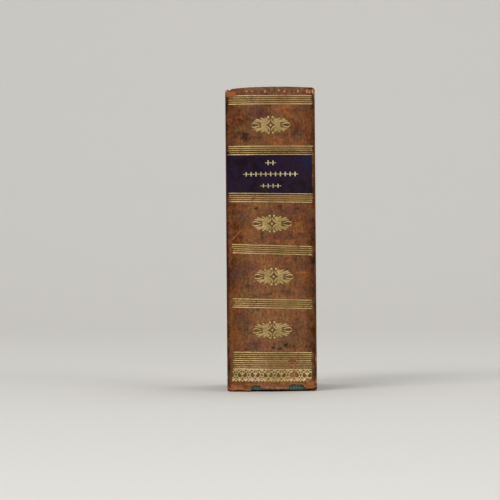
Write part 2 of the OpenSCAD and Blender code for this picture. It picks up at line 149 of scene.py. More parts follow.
# --- places of wear, kept apart from the meshes: across, up, half width, half height, strength
rubbedPlaces = [
    (-23.4, 177.0, 3.6, 2.2, 0.62), (-19, 178.6, 2.5, 1.0, 0.4), (22.8, 178.4, 2.8, 1.5, 0.55),
    (26.4, 176.5, 0.7, 3.0, 0.75), (-13.8, 178.4, 1.0, 0.5, 1.2), (-10.9, 178.5, 0.7, 0.5, 1.2),
    (-3.0, 178.3, 0.6, 0.9, 1.2), (-6.4, 178.0, 0.9, 0.4, 0.9), (5.2, 178.7, 0.5, 1.0, 1.2),
    (8.4, 178.2, 1.0, 0.5, 1.2), (16.6, 178.4, 0.5, 1.3, 1.25), (22.0, 178.6, 0.4, 1.4, 1.2),
    (23.6, 178.2, 0.4, 1.6, 1.1), (25.4, 178.0, 0.5, 1.6, 1.2), (-26.2, 178.6, 0.7, 1.0, 1.2),
    (12.8, 15.6, 3.1, 4.6, 0.5), (14.2, 19.2, 1.3, 2.2, 0.42), (22.4, 4.6, 4.0, 2.4, 0.62),
    (26.5, 5.6, 0.9, 1.8, 1.1), (26.3, 19.0, 0.7, 2.4, 0.8), (12.6, 9.8, 3.4, 2.0, 0.6),
    (-1.6, 5.0, 1.4, 0.8, 0.6), (6.3, 4.6, 2.2, 0.9, 0.6), (-22.0, 3.0, 4.0, 1.8, 0.6),
    (-14.2, 4.2, 3.4, 1.0, 0.6), (3.7, 89.2, 1.8, 1.4, 0.55), (17.9, 70.3, 4.6, 1.1, 0.6),
    (-11.0, 42.8, 3.6, 1.3, 0.5), (-20.4, 95.4, 4.2, 1.1, 0.3), (9.4, 152.0, 1.2, 3.4, 0.35),
    (-24.4, 150.0, 1.4, 30.0, 0.28), (-24.2, 92.0, 1.5, 24.0, 0.34), (-24.0, 36.0, 1.6, 34.0, 0.36),
    (22.8, 160.0, 1.6, 14.0, 0.3), (22.4, 58.0, 1.8, 40.0, 0.22), (-3.6, 2.5, 5.0, 0.5, 0.8),
    (4.6, 2.2, 4.4, 0.5, 0.85), (-20.6, 1.9, 3.6, 0.6, 0.8), (21.4, 6.4, 2.2, 1.0, 0.75),
]
stainedPlaces = [
    (-15.4, 151.4, 2.6, 2.4, 0.75), (-18.4, 154.2, 1.6, 1.2, 0.4), (-8.6, 108.8, 1.6, 1.2, 0.75),
    (5.2, 109.8, 1.1, 0.7, 0.8), (15.6, 108.6, 1.8, 0.8, 0.5), (-14.0, 110.2, 3.4, 0.8, 0.4),
    (0.6, 26.0, 1.2, 1.0, 0.7), (4.4, 25.2, 1.8, 1.0, 0.75), (8.6, 27.6, 1.5, 1.3, 0.85),
    (12.6, 26.6, 1.0, 1.2, 0.6), (-5.4, 92.6, 0.9, 3.2, 0.5), (-17.6, 91.6, 1.6, 1.4, 0.5),
    (16.8, 93.2, 1.8, 1.1, 0.4), (13.0, 153.0, 4.4, 1.3, 0.35), (11.6, 157.0, 0.8, 0.9, 0.5),
    (-10.0, 28.4, 2.2, 1.4, 0.4), (-8.0, 48.6, 1.2, 1.2, 0.4), (9.0, 58.4, 4.0, 2.0, 0.3),
    (-14.5, 62.4, 1.4, 1.2, 0.45), (1.5, 72.8, 1.2, 0.9, 0.5),
]
plumPlaces = [
    (-5.6, 165.4, 7.0, 4.0, 0.8), (-17.5, 169.4, 4.0, 2.2, 0.5), (10.4, 152.0, 8.0, 3.4, 0.7),
    (-21.0, 152.0, 4.0, 6.0, 0.5), (17.8, 167.4, 4.0, 3.0, 0.5), (0.0, 178.6, 22.0, 2.4, 0.62),
    (-17.4, 104.6, 6.0, 5.0, 0.7), (2.0, 106.0, 8.0, 3.0, 0.5), (14.4, 108.0, 7.0, 2.6, 0.7),
    (9.0, 92.0, 8.0, 2.8, 0.6), (-19.6, 70.0, 5.0, 6.0, 0.8), (-12.0, 74.0, 6.0, 3.0, 0.5),
    (13.4, 60.0, 9.0, 3.2, 0.6), (-10.6, 62.0, 6.0, 3.0, 0.5), (-17.6, 42.6, 5.0, 7.0, 0.6),
    (-6.0, 27.6, 9.0, 3.0, 0.4), (15.0, 30.6, 8.0, 4.0, 0.4), (3.4, 76.0, 5.0, 2.4, 0.4),
    (-14.6, 5.0, 4.0, 0.6, 0.9), (1.6, 4.6, 3.0, 0.5, 0.7),
]
scratches = [  # from across and up, to across and up, half width, strength
    (-22.6, 90.8, -16.6, 97.2, 0.35, 0.5), (-10.4, 109.2, -7.6, 110.2, 0.4, 0.45),
    (12.0, 97.2, 12.4, 103.0, 0.3, 0.4), (11.5, 148.2, 11.4, 153.8, 0.35, 0.45),
    (-19.4, 163.6, -14.8, 161.2, 0.3, 0.35), (19.6, 62.4, 20.2, 71.4, 0.35, 0.4),
    (-9.8, 73.0, -3.6, 75.6, 0.3, 0.35), (4.2, 44.6, 5.0, 47.8, 0.35, 0.4),
    (17.0, 36.2, 21.4, 33.4, 0.3, 0.35), (-21.4, 29.4, -12.6, 31.8, 0.3, 0.35),
    (-2.2, 147.4, 3.4, 149.0, 0.3, 0.3), (8.2, 66.0, 12.4, 57.6, 0.3, 0.3),
]


def scratched(x, z):
    found = 0.0
    for x0, z0, x1, z1, half, strength in scratches:
        run, rise = x1 - x0, z1 - z0
        t = min(max(((x - x0) * run + (z - z0) * rise) / (run ** 2 + rise ** 2), 0), 1)
        off = hypot(x - x0 - t * run, z - z0 - t * rise) + 0.5 * ripple(x * 0.5, half, z * 0.5)
        found = max(found, strength * ease((2 * half - off) / half))
    return found


def placed(x, z, places, ragged=0.5):  # strength of the nearest places, with ragged edges
    found = 0.0
    for across, up, wide, high, strength in places:
        if abs(x - across) < 2.2 * wide and abs(z - up) < 2.2 * high:
            away = hypot((x - across) / wide, (z - up) / high)
            away += ragged * ripple(x * 0.7, across, z * 0.7)
            away += 0.6 * ragged * ripple(x * 2.3, across, z * 2.3)
            found = max(found, strength * ease(1.4 - away))
    return found


def paintWear(bm, wear):  # wear gives (rubbed, tooled, stains and painted shade, plum) for a place
    layer = bm.verts.layers.float_color.new("wear")
    for v in bm.verts:
        v[layer] = wear(v.co)


def addGrid(bm, columns, rows):  # a sheet from -0.5 to 0.5, whose vertices are then moved
    return bmesh.ops.create_grid(bm, x_segments=columns, y_segments=rows, size=0.5)["verts"]


def turnFaces(bm, toward, chosen=None):  # makes the faces of an open sheet point one way
    bmesh.ops.recalc_face_normals(bm, faces=bm.faces)
    if sum(f.normal.dot(toward) * f.calc_area() for f in chosen or bm.faces) < 0:
        bmesh.ops.reverse_faces(bm, faces=bm.faces)


def addObject(name, data):
    made = bpy.data.objects.new(name, data)
    bpy.context.scene.collection.objects.link(made)
    return made


def meshObject(name, bm, materials):
    mesh = bpy.data.meshes.new(name)
    bm.to_mesh(mesh)
    bm.free()
    for material in materials:
        mesh.materials.append(material)
    mesh.shade_smooth()
    return addObject(name, mesh)


def addPiece(name, bm, materials, body, replaced=(), thickness=0.0, crease=40, rim=0):
    bmesh.ops.translate(bm, vec=(0, -bookDepth / 2, 0), verts=bm.verts)
    bmesh.ops.scale(bm, vec=(mm, mm, mm), verts=bm.verts)
    piece = meshObject(name, bm, materials)
    piece.data.set_sharp_from_angle(angle=radians(crease))
    if thickness:
        wall = piece.modifiers.new("Wall", "SOLIDIFY")
        wall.thickness = thickness * mm
        wall.offset = -1
        wall.material_offset_rim = rim
    if body:
        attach(piece, body)
    if replaced:
        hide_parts(*replaced)
    return piece


# --- materials

def hexColour(text):
    def toLinear(c):
        return c / 12.92 if c <= 0.04045 else ((c + 0.055) / 1.055) ** 2.4
    return tuple(toLinear(int(text[i:i + 2], 16) / 255) for i in (1, 3, 5)) + (1.0,)


def newMaterial(name, *noises):  # a noise: size in mm, detail, roughness, distortion
    material = bpy.data.materials.new(name)
    material.use_nodes = True
    tree = material.node_tree
    tree.nodes.clear()

    def addNode(kind, inputs=(), out=0, stops=(), **settings):  # gives one output, or all for None
        node = tree.nodes.new("ShaderNode" + kind)
        for key, value in settings.items():
            setattr(node, key, value)
        for key, value in inputs.items() if isinstance(inputs, dict) else enumerate(inputs):
            if isinstance(value, bpy.types.NodeSocket):
                tree.links.new(value, node.inputs[key])
            else:
                node.inputs[key].default_value = hexColour(value) if isinstance(value, str) else value
        for i, (at, colour) in enumerate(stops):
            ramp = node.color_ramp.elements
            element = ramp[i] if i < 2 else ramp.new(at)
            element.position, element.color = at, hexColour(colour)
        return node.outputs if out is None else node.outputs[out]

    place = addNode("TexCoord", out="Object")
    return material, addNode, place, *(
        addNode("TexNoise", {"Vector": place, "Scale": 1 / (size * mm), "Detail": detail,
                             "Roughness": harsh, "Distortion": bent})
        for size, detail, harsh, bent in noises)


mixFactor, mixA, mixB, mixOut = 0, 6, 7, 2  # sockets of a Mix node set to colour


def finishMaterial(material, add, colour, layers, bumps, sockets):
    for amount, tint, *blend in layers:  # each laid over the colours before it
        colour = add("Mix", {mixFactor: amount, mixA: colour, mixB: tint}, mixOut,
                     data_type="RGBA", blend_type=blend[0] if blend else "MIX")
    sockets = {"Base Color": colour, **sockets}
    for height, strength, rise in bumps:  # rise in mm
        below = {"Normal": sockets["Normal"]} if "Normal" in sockets else {}
        bump = {"Strength": strength, "Distance": rise * mm, "Height": height, **below}
        sockets["Normal"] = add("Bump", bump)
    add("OutputMaterial", [add("BsdfPrincipled", sockets)], None)
    return material


# Calf, vegetable tanned and sprinkled with acid: a warm brown with clouds and plum patches, dark
# specks where the acid fell, and paler, redder leather where the surface is rubbed away
calf = {
    "dyeSize": 6.0, "grainSize": 0.3, "speckGap": 2.3, "fibreWidth": 0.9,  # mm
    # clouds, mottling and fine marks
    "noises": ((17.0, 3.0, 0.6, 0.5), (4.2, 4.0, 0.62, 0.3), (1.5, 3.0, 0.6, 0.0)),
}


def calfMaterial(name, fibreLength, clouds, shoulderShadeStops=None):
    material, add, place, cloud, mottle, fine = newMaterial(name, *calf["noises"])
    wear = add("Attribute", out=None, attribute_name="wear")
    rubbed, tooled, stainsAndShade = add("SeparateColor", [wear["Color"]], None)
    across, along = 1 / (calf["fibreWidth"] * mm), 1 / (fibreLength * mm)
    drawn = add("Mapping", {"Vector": place, "Scale": (across, across, along)})
    fibres = add("TexNoise", {"Vector": drawn, "Scale": 1.0, "Detail": 3.0, "Roughness": 0.65})
    tone = add("Math", [mottle, 0.7, cloud], operation="MULTIPLY_ADD")
    tone = add("Math", [fibres, 0.28, tone], operation="MULTIPLY_ADD")
    tone = add("Math", [tone, -0.49], operation="ADD")
    layers = []
    if shoulderShadeStops:
        x, y, up = add("SeparateXYZ", [place], None)
        # the lower panels and the cap have faded a little and are dusty
        faded = add("MapRange", [up, 95 * mm, 40 * mm, 0.0, 0.25])
        dusty = add("MapRange", [up, 176.5 * mm, 179 * mm, 0.0, 0.36])
        patchy = add("MapRange", [fine, 0.3, 0.7, 0.6, 1.4])
        faded = add("Math", [faded, dusty], operation="ADD")
        faded = add("Math", [faded, patchy], operation="MULTIPLY")
        # painted shade: the back is darker and warmer towards its shoulders, where it turns away from the
        # light
        wavy = add("Math", [mottle, 2.4 * mm, x], operation="MULTIPLY_ADD")
        shift = add("MapRange", [wavy, -25.8 * mm, 28.2 * mm, 0.0, 1.0])
        shoulderShade = add("ValToRGB", [shift], stops=shoulderShadeStops)
        layers += [(faded, "#907052"), (1.0, shoulderShade, "MULTIPLY")]
    # the dye has gone redder in some places and olive in others
    dye = {"Vector": place, "Scale": 1 / (calf["dyeSize"] * mm), "Detail": 3.0, "Roughness": 0.6}
    redder, greener, rest = add("SeparateColor", [add("TexNoise", dye, "Color")], None)
    for patch, tint in ((redder, "#86432a"), (greener, "#6d5526")):
        layers.append((add("MapRange", [patch, 0.5, 0.68, 0.0, 0.42]), tint))
    purple = add("MapRange", [mottle, 0.47, 0.66, 0.0, 0.5])
    purple = add("Math", [wear["Alpha"], 0.55, purple], operation="MULTIPLY_ADD")
    # drops of acid: a cell now and then holds a small dark speck
    cells = add("TexVoronoi", {"Vector": place, "Scale": 1 / (calf["speckGap"] * mm)}, None)
    near = add("Math", [fine, 0.35, cells["Distance"]], operation="MULTIPLY_ADD")
    drop = add("MapRange", [near, 0.42, 0.28, 0.0, 1.0])
    kept = add("MapRange", [add("SeparateColor", [cells["Color"]]), 0.55, 0.95, 0.0, 0.6])
    speck = add("Math", [drop, kept], operation="MULTIPLY")
    # dark of the stains, and painted shade in the hollows of the tools on the back
    dark = add("Math", [stainsAndShade, fine], operation="MULTIPLY")
    dark = add("Math", [dark, 2.3, speck], operation="MULTIPLY_ADD", use_clamp=True)
    # olive round the tools: heat darkening with painted shade of the impressions
    olive = add("Math", [tooled, 0.8], operation="MULTIPLY")
    # fine fibres and scratches, drawn at 1 mm so that they show
    streaks = add("Math", [fibres, 0.45, fine], operation="MULTIPLY_ADD")
    value = add("MapRange", [streaks, 0.5, 0.95, 0.62, 1.42])
    grey = add("CombineColor", [value, value, value])
    # rubbed places, from a warm bloom to bare fibres
    worn = add("Math", [fine, 0.6, rubbed], operation="MULTIPLY_ADD")
    worn = add("Math", [worn, -0.3], operation="ADD")
    bare = add("ValToRGB", [worn], stops=[
        (0.2, "#6b3d20"), (0.5, "#8b522c"), (0.75, "#9c643a"), (1.0, "#bf9a88")])
    amount = add("MapRange", [worn, 0.06, 0.5, 0.0, 0.95])
    gate = add("MapRange", [rubbed, 0.0, 0.12, 0.0, 1.0])
    amount = add("Math", [amount, gate], operation="MULTIPLY")
    layers += [(purple, "#4c3230"), (dark, "#211c1c"), (olive, "#674823"), (1.0, grey, "MULTIPLY"),
               (amount, bare)]
    rough = add("MapRange", [mottle, 0.3, 0.7, 0.44, 0.6])
    rough = add("Math", [amount, 0.3, rough], operation="MULTIPLY_ADD", use_clamp=True)
    # grain of 0.3 mm pores, and the dents and creases of the skin
    pores = add("TexVoronoi", {"Vector": place, "Scale": 1 / (calf["grainSize"] * mm)}, "Distance")
    bumps = ((pores, 0.35, 0.06), (fine, 0.5, 0.25), (mottle, 0.5, 0.6))
    colour = add("ValToRGB", [tone], stops=clouds)
    return finishMaterial(material, add, colour, layers, bumps,
                          {"Roughness": rough, "Specular IOR Level": 0.08})


spineCalf = calfMaterial(
    "sprinkled_calf_spine", 4.5,
    [(0.26, "#482911"), (0.4, "#623c23"), (0.52, "#7a4e2f"), (0.62, "#8b5933"), (0.76, "#9c6a35")],
    # painted shade across the back, darkest at the shoulders
    [(0.0, "#6c4c14"), (0.035, "#8a6620"), (0.065, "#c0962e"), (0.13, "#e8d498"),
     (0.3, "#ffffff"), (0.86, "#f8eccc"), (0.94, "#a4843c"), (1.0, "#8c6a2c")])
coverCalf = calfMaterial(
    "sprinkled_calf_covers", 1.3,
    [(0.28, "#432616"), (0.42, "#573421"), (0.54, "#674028"), (0.62, "#73492b"), (0.74, "#7f552b")])


# Goatskin label, dyed aubergine: nearly black, with navy and wine patches and a pebbled grain
def goatskinMaterial():
    noises = ((7, 4.0, 0.6, 0.6), (0.9, 3.0, 0.5, 0))
    material, add, place, cloud, fine = newMaterial("aubergine_goatskin", *noises)
    tone = add("Math", [fine, 0.35, cloud], operation="MULTIPLY_ADD")
    colour = add("ValToRGB", [tone], stops=[
        (0.5, "#100a0d"), (0.6, "#1a0e1b"), (0.68, "#27112e"), (0.76, "#1c111b"), (0.86, "#2c1a1b")])
    # the upper right has turned navy
    away = add("VectorMath", [place, (0.0225, -0.052, 0.138)], "Value", operation="DISTANCE")
    away = add("Math", [cloud, 8 * mm, away], operation="MULTIPLY_ADD")
    navy = add("MapRange", [away, 12 * mm, 6.5 * mm, 0.0, 0.8])
    rubbed = add("SeparateColor", [add("Attribute", attribute_name="wear")])
    worn = add("Math", [fine, 1.2, -0.55], operation="MULTIPLY_ADD")
    worn = add("Math", [rubbed, worn, 0.0], operation="MULTIPLY_ADD", use_clamp=True)
    rough = add("MapRange", [cloud, 0.3, 0.7, 0.42, 0.58])
    pebbles = add("TexVoronoi", {"Vector": place, "Scale": 1 / (0.55 * mm)}, "Distance")
    layers = [(navy, "#141b36"), (worn, "#5a3c36")]
    return finishMaterial(material, add, colour, layers, [(pebbles, 0.4, 0.1)],
                          {"Roughness": rough, "Specular IOR Level": 0.08})


labelGoatskin = goatskinMaterial()


# Gold leaf pressed in with a hot tool: a thin metal skin, dulled with age, rubbed through to the
# darkened leather in specks and patches
def giltMaterial(name, light, dull, cover):
    noises = ((1.3, 5.0, 0.7, 0), (6.5, 3.0, 0.5, 0))
    material, add, place, flakes, patches = newMaterial("worn_gold_leaf_" + name, *noises)
    rubbed, vein, rest = add("SeparateColor", [add("Attribute", attribute_name="wear")], None)
    left = add("Math", [patches, 0.6, flakes], operation="MULTIPLY_ADD")
    left = add("Math", [rubbed, -0.55, left], operation="MULTIPLY_ADD")
    gold = add("MapRange", [left, cover, cover + 0.14, 0.0, 1.0])
    hue = add("ValToRGB", [patches], stops=[(0.38, dull), (0.62, light)])
    # painted shade along the middle of each leaf, where its groove runs
    hue = add("Mix", {mixFactor: vein, mixA: hue, mixB: "#6d5a2c"}, mixOut, data_type="RGBA")
    metal = add("Math", [gold, 0.85], operation="MULTIPLY")
    rough = add("MapRange", [flakes, 0.3, 0.7, 0.3, 0.5])
    layers = [(rubbed, "#85502c"), (gold, hue)]  # over the darkened leather
    return finishMaterial(material, add, "#553c1c", layers, [(flakes, 0.3, 0.06)],
                          {"Metallic": metal, "Roughness": rough})


brightGilt = giltMaterial("bright", "#c6a779", "#b09a66", 0.54)
dullGilt = giltMaterial("dull", "#c0a26c", "#ab945c", 0.58)
leafGilt = giltMaterial("tools", "#b99d6c", "#a8935a", 0.54)
rollGilt = giltMaterial("roll", "#cbae7e", "#b7a06a", 0.5)
beadGilt = giltMaterial("beads", "#dcc094", "#c6ac74", 0.5)
labelGilt = giltMaterial("label", "#cdbe96", "#b8aa82", 0.56)


def plainMaterial(name, light, dark, grain, roughness, stretch=(1, 1, 1)):
    material, add, place = newMaterial(name)
    spread = add("Mapping", {"Vector": place, "Scale": stretch})
    fibres = {"Vector": spread, "Scale": 1 / (grain * mm), "Detail": 5.0, "Roughness": 0.65}
    fibres = add("TexNoise", fibres)
    colour = add("ValToRGB", [fibres], stops=[(0.3, dark), (0.7, light)])
    return finishMaterial(material, add, colour, (), [(fibres, 0.6, 0.15)], {"Roughness": roughness})


rawCalf = plainMaterial("calf_flesh_side", "#a87048", "#6f4526", 0.6, 0.75, (1, 1, 0.5))  # fuzzy and matt
print("materials of leather and gold made")


# --- leather of the back: one skin, from joint to joint, over the head cap and down its turn-in
backSkin = {
    "columns": 124, "wallRows": 286, "riseRows": 6, "foldRows": 9, "turnInRows": 9,
    "turnInReach": 6.0, "capLean": 1.2, "foldSize": 0.98, "thick": 0.62,
    "curl": 0.28,  # how far the torn tail lifts off
    "halfLength": backArc + shoulderArc + 0.72,
}


def tailHeight(x):
    torn = ripple(x * 1.1, 0.4, 0.0) * 0.35 + ripple(x * 3.1, 4.4, 0.0) * 0.16
    return max(lookUp(x, tailEdge) + torn, 0.12)


def headHeight(x):
    chipped = ripple(x * 0.9, 9.4, 0.0) * 0.22 + ripple(x * 2.7, 2.2, 0.0) * 0.1
    return book["headTop"] + lookUp(x, headEdge) - abs(chipped)


def skinRow(x, row):  # depth below the outer face and height of one row of the skin
    s = backSkin
    low, top = tailHeight(x), headHeight(x)
    lean = s["capLean"] * (1 - (x / halfThick) ** 2)
    rise = top - s["foldSize"] - pageTop
    if row <= s["wallRows"]:
        z = low + (pageTop - low) * row / s["wallRows"]
        lifted = s["curl"] * ease(1 - (z - low) / 3.0) * max(ripple(x * 0.28, 1.7, 0.0) + 0.35, 0)
        return -unevenness(x, z) - lifted, z
    row -= s["wallRows"]
    if row <= s["riseRows"]:
        t = row / s["riseRows"]
        return lean * ease(t) - unevenness(x, pageTop) * (1 - t), pageTop + rise * t
    row -= s["riseRows"]
    if row <= s["foldRows"]:
        turn = pi * row / s["foldRows"]
        z = top - s["foldSize"] + s["foldSize"] * sin(turn)
        return lean + s["foldSize"] * (1 - cos(turn)), z
    t = (row - s["foldRows"]) / s["turnInRows"]
    z = top - s["foldSize"] - (rise + s["turnInReach"]) * t
    return 2 * s["foldSize"] + lean * ease((z - pageTop) / max(rise, 0.1)), z


fillets = {
    "places": [173.3, 143.25, 115.05, 84.2, 52.05, 20.6],
    "slants": [0.1, 0.1, 0.9, 1.9, 1.4, 0.6],  # degrees, the left end is higher
    # left and right of the middle
    "reaches": [(25.1, 25.2), (25.4, 25.5), (25.6, 25.2), (23.6, 24.8), (23.9, 24.5), (23.4, 24.2)],
    "pitch": 1.23,
    "heavy": 0.66,
    "fine": 0.44,
}
fleurons = {
    "places": [(0.2, 158.27), (0.5, 99.63), (1.4, 68.13), (0.3, 36.32)],
    "tilts": [0.5, 0.0, -1.0, 1.6],  # degrees
    "halfWide": 12.0,
    "halfHigh": 5.35,
}
toolHalo = {"reach": 25.4, "rollLow": 5.5, "rollTop": 20, "margin": 0.8}


def tooledAt(x, z):  # leather darker round the tools: darkened by their heat, with painted shade of the pressed-in lines
    ends = ease(toolHalo["reach"] - abs(x))
    for middle, slant in zip(fillets["places"], fillets["slants"]):
        off = abs(z - middle + fall(x, slant))
        if off < 3.4:
            return ease((3.0 - off) / 0.6) * ends * 0.9
    if toolHalo["rollLow"] < z < toolHalo["rollTop"]:
        return ease(z - toolHalo["rollLow"]) * ends * 0.8
    for across, up in fleurons["places"]:
        wide, high = fleurons["halfWide"] + toolHalo["margin"], fleurons["halfHigh"] + toolHalo["margin"]
        away = abs(x - across) / wide + (abs(z - up) / high) ** 1.5
        if away < 1.2:
            return ease((1.12 - away) / 0.2) * 0.75
    return 0.0


def backWear(p):
    x, z = p.x, p.z
    torn = ease((1.7 - (z - tailHeight(x))) / 1.5) * 0.8
    ridge = 0.4 * ease((x - 25.6) / 0.6) * (0.7 + 0.6 * ripple(0.5, 0.5, z * 0.12))
    capTop = 0.4 * ease((z - headHeight(x) + 0.9) / 0.9) * max(ripple(x * 0.7, p.y, 3.0) + 0.4, 0)
    outside = ease((1.9 - p.y + skin(alongSkin(x))[1]) / 0.4)
    rubbed = max(placed(x, z, rubbedPlaces) * outside, torn, ridge, capTop)
    # painted shade in the deepest parts of the tools: the roll, then each fleuron's star and its slits
    hollowShade = 0.34 * ease((z - 6.6) / 0.5) * ease((13.4 - z) / 0.5) * ease((24.6 - abs(x)) / 0.8)
    for across, up in fleurons["places"]:
        star = 0.34 * ease((3.2 - hypot(x - across, z - up)) / 0.8)
        slits = 0.3 * ease((11.6 - abs(x - across)) / 0.8) * ease((1.1 - abs(z - up)) / 0.5)
        hollowShade = max(hollowShade, star, slits)
    # real stains and the painted shade of the tools share one channel
    stainsAndShade = max(placed(x, z, stainedPlaces, 0.7), hollowShade)
    return max(rubbed, scratched(x, z)), tooledAt(x, z), stainsAndShade, placed(x, z, plumPlaces, 0.6)


def makeBackSkin():
    s = backSkin
    rows = s["wallRows"] + s["riseRows"] + s["foldRows"] + s["turnInRows"]
    bm = bmesh.new()
    for v in addGrid(bm, s["columns"], rows):
        along = v.co.x * 2 * s["halfLength"]
        row = round((v.co.y + 0.5) * rows)
        depth, z = skinRow(skin(along)[0], row)
        if row <= s["wallRows"]:  # room for the joint's leather over the edge
            depth += 0.2 * ease((abs(along) - s["halfLength"] + 1.9) / 0.5)
        v.co = (*skin(along, depth), z)
    paintWear(bm, backWear)
    addPiece("back_skin", bm, [spineCalf, rawCalf], "book_block", ["spine_leather"],
             s["thick"], crease=70, rim=1)


makeBackSkin()


frayed = {
    "draw": 11, "count": 64, "lean": 0.7,
    "shortest": 0.4, "longest": 1.3, "narrowest": 0.09, "widest": 0.2,
}


def makeFibres():  # frayed ends of leather along the torn tail and the rubbed joints
    bm = bmesh.new()
    layer = bm.verts.layers.float_color.new("wear")
    draw = random.Random(frayed["draw"])
    for i in range(frayed["count"]):
        verts = addGrid(bm, 2, 4)
        length = draw.uniform(frayed["shortest"], frayed["longest"])
        width = draw.uniform(frayed["narrowest"], frayed["widest"])
        lean = draw.uniform(-frayed["lean"], frayed["lean"])
        x0 = draw.uniform(-26, 26)
        z0 = tailHeight(x0) + 0.25
        length = min(length, z0 - 0.1)
        atJoint = i % 5 == 0
        if atJoint:
            z0 = draw.choice([draw.gauss(19.0, 1.8), draw.gauss(6.0, 0.8), draw.gauss(173.5, 1.6),
                              draw.uniform(25, 170)])
        for v in verts:
            t, across = v.co.y + 0.5, v.co.x * width * (0.5 - v.co.y)
            v[layer] = (0.55 + 0.4 * t, 0, 0, 0)
            if atJoint:
                v.co = (26.62 + 0.4 * ease(1.2 * t), 6.8 - length * t, z0 + across + lean * t * t)
            else:
                x = x0 + across + lean * length * t * t
                v.co = (*skin(alongSkin(x), 0.2 - 0.55 * length * t), z0 - length * t)
    addPiece("worn_leather_fibres", bm, [spineCalf], "book_block", (), 0.05)


makeFibres()
print("leather of the back made")


# --- gilt tooling, drawn flat as (across, up, height) and then pressed on the back

def flatDrawing():
    bm = bmesh.new()
    bm.verts.layers.float_color.new("wear")
    return bm


def turned(x, z, angle):
    c, s = cos(radians(angle)), sin(radians(angle))
    return x * c - z * s, x * s + z * c


def leaf(bm, x, z, turn, length, width, bow=0.0, fullest=0.45, height=0.05, lift=0.0, side=(1, 1),
         along=9, vein=0.0, skew=1.0):
    layer = bm.verts.layers.float_color["wear"]
    power = log(0.5) / log(fullest)
    verts = addGrid(bm, along, 4)
    for v in verts:
        t, edge = v.co.x + 0.5, v.co.y * 2
        half = width / 2 * sin(pi * min(t, 1.0) ** power) ** 0.65 if 0 < t < 1 else 0.0
        u, w = turned(t * length, edge * half + bow * sin(pi * max(t, 0.0) ** skew), turn)
        crease = height * (1 - 0.7 * abs(abs(edge) - 0.5) * 2)
        # painted shade along the leaf's middle groove, strongest at its base
        v[layer] = (0, vein * (1 - t) if abs(edge) < 0.1 else 0, 0, 0)
        v.co = (side[0] * (x + u), side[1] * (z + w), lift + crease)
    return verts


def stroke(bm, x0, z0, x1, z1, width, bow=0.0, fullest=0.5, along=7, **more):  # a leaf from point to point
    turn, length = degrees(atan2(z1 - z0, x1 - x0)), hypot(x1 - x0, z1 - z0)
    return leaf(bm, x0, z0, turn, length, width, bow, fullest, along=along, **more)


def stud(bm, x, z, radius, height=0.09, side=(1, 1)):
    layer = bm.verts.layers.float_color["wear"]
    verts = bmesh.ops.create_circle(bm, cap_ends=True, cap_tris=True, segments=14, radius=radius)["verts"]
    for v in verts:
        v[layer] = (0, 0, 0, 0)
        high = height * (1 - (v.co.length / radius) ** 2)
        v.co = (side[0] * (x + v.co.x), side[1] * (z + v.co.y), high + 0.02)
    return verts


def strip(bm, x0, x1, z, width, slant, seed, lift=0.05, unsteady=0.06):
    layer = bm.verts.layers.float_color["wear"]
    verts = addGrid(bm, 98, 2)
    for v in verts:
        v[layer] = (0, 0, 0, 0)
        x = x0 + (x1 - x0) * (v.co.x + 0.5)
        shaken = unsteady * ripple(x * 0.16, seed, 0.0) + unsteady * 0.6 * ripple(x * 0.9, seed, 5.0)
        pressed = 1 + 0.25 * ripple(x * 0.5, seed, 9.0)
        high = lift if abs(v.co.y) < 0.1 else lift * 0.5
        v.co = (x, z - fall(x, slant) + shaken + v.co.y * width * pressed, high)
    return verts


def finish(verts, index):  # gives the drawn shape another of the piece's materials
    for face in set(f for v in verts for f in v.link_faces):
        face.material_index = index


def pressOn(name, bm, materials, node):
    bmesh.ops.remove_doubles(bm, verts=bm.verts, dist=0.004)
    bm.normal_update()
    bmesh.ops.reverse_faces(bm, faces=[f for f in bm.faces if f.normal.z < 0])
    layer = bm.verts.layers.float_color["wear"]
    for v in bm.verts:
        x, z, high = v.co
        s = alongSkin(x)
        v[layer] = (placed(x, z, rubbedPlaces), v[layer][1], 0, 0)
        v.co = (*skin(s, -unevenness(x, z) - labelHeight(s, z) - high), z)
    addPiece(name, bm, materials, "book_block", [node], 0.07)


def makeFillet(i):
    bm = flatDrawing()
    draw = random.Random(31 + i)
    left, right = fillets["reaches"][i]
    for k in range(-2, 3):
        z, width = fillets["places"][i] + k * fillets["pitch"], fillets["heavy" if abs(k) == 2 else "fine"]
        made = strip(bm, draw.uniform(-0.1, 0.9) - left, right - draw.uniform(-0.2, 0.8), z, width,
                     fillets["slants"][i], draw.uniform(0, 50))
        if abs(k) < 2:
            finish(made, 1)
    name = "gilt_fillet_%d" % (i + 1)
    pressOn(name, bm, [brightGilt, dullGilt], name)


# One quarter of the fleuron: fat lobes that grow out of a frame about an open star
fleuronLeaves = [
    # base across and up, tip across and up, width, bow, fullest
    (1.3, 2.1, 3.5, 4.35, 1.05, 0.12, 0.62), (1.6, 1.8, 4.6, 3.5, 1.1, 0.1, 0.6),
    (2.0, 1.35, 5.9, 4.3, 1.3, 0.15, 0.68), (2.5, 0.95, 6.9, 3.1, 1.05, 0.1, 0.62),
    (3.4, 0.85, 9.0, 3.65, 1.35, 0.2, 0.72), (4.6, 1.1, 10.2, 2.5, 1.05, 0.25, 0.7),
    (2.7, 0.3, 6.0, 0.9, 1.3, 0.0, 0.5), (2.2, 1.0, 6.4, 2.3, 1.9, 0.0, 0.45),
]


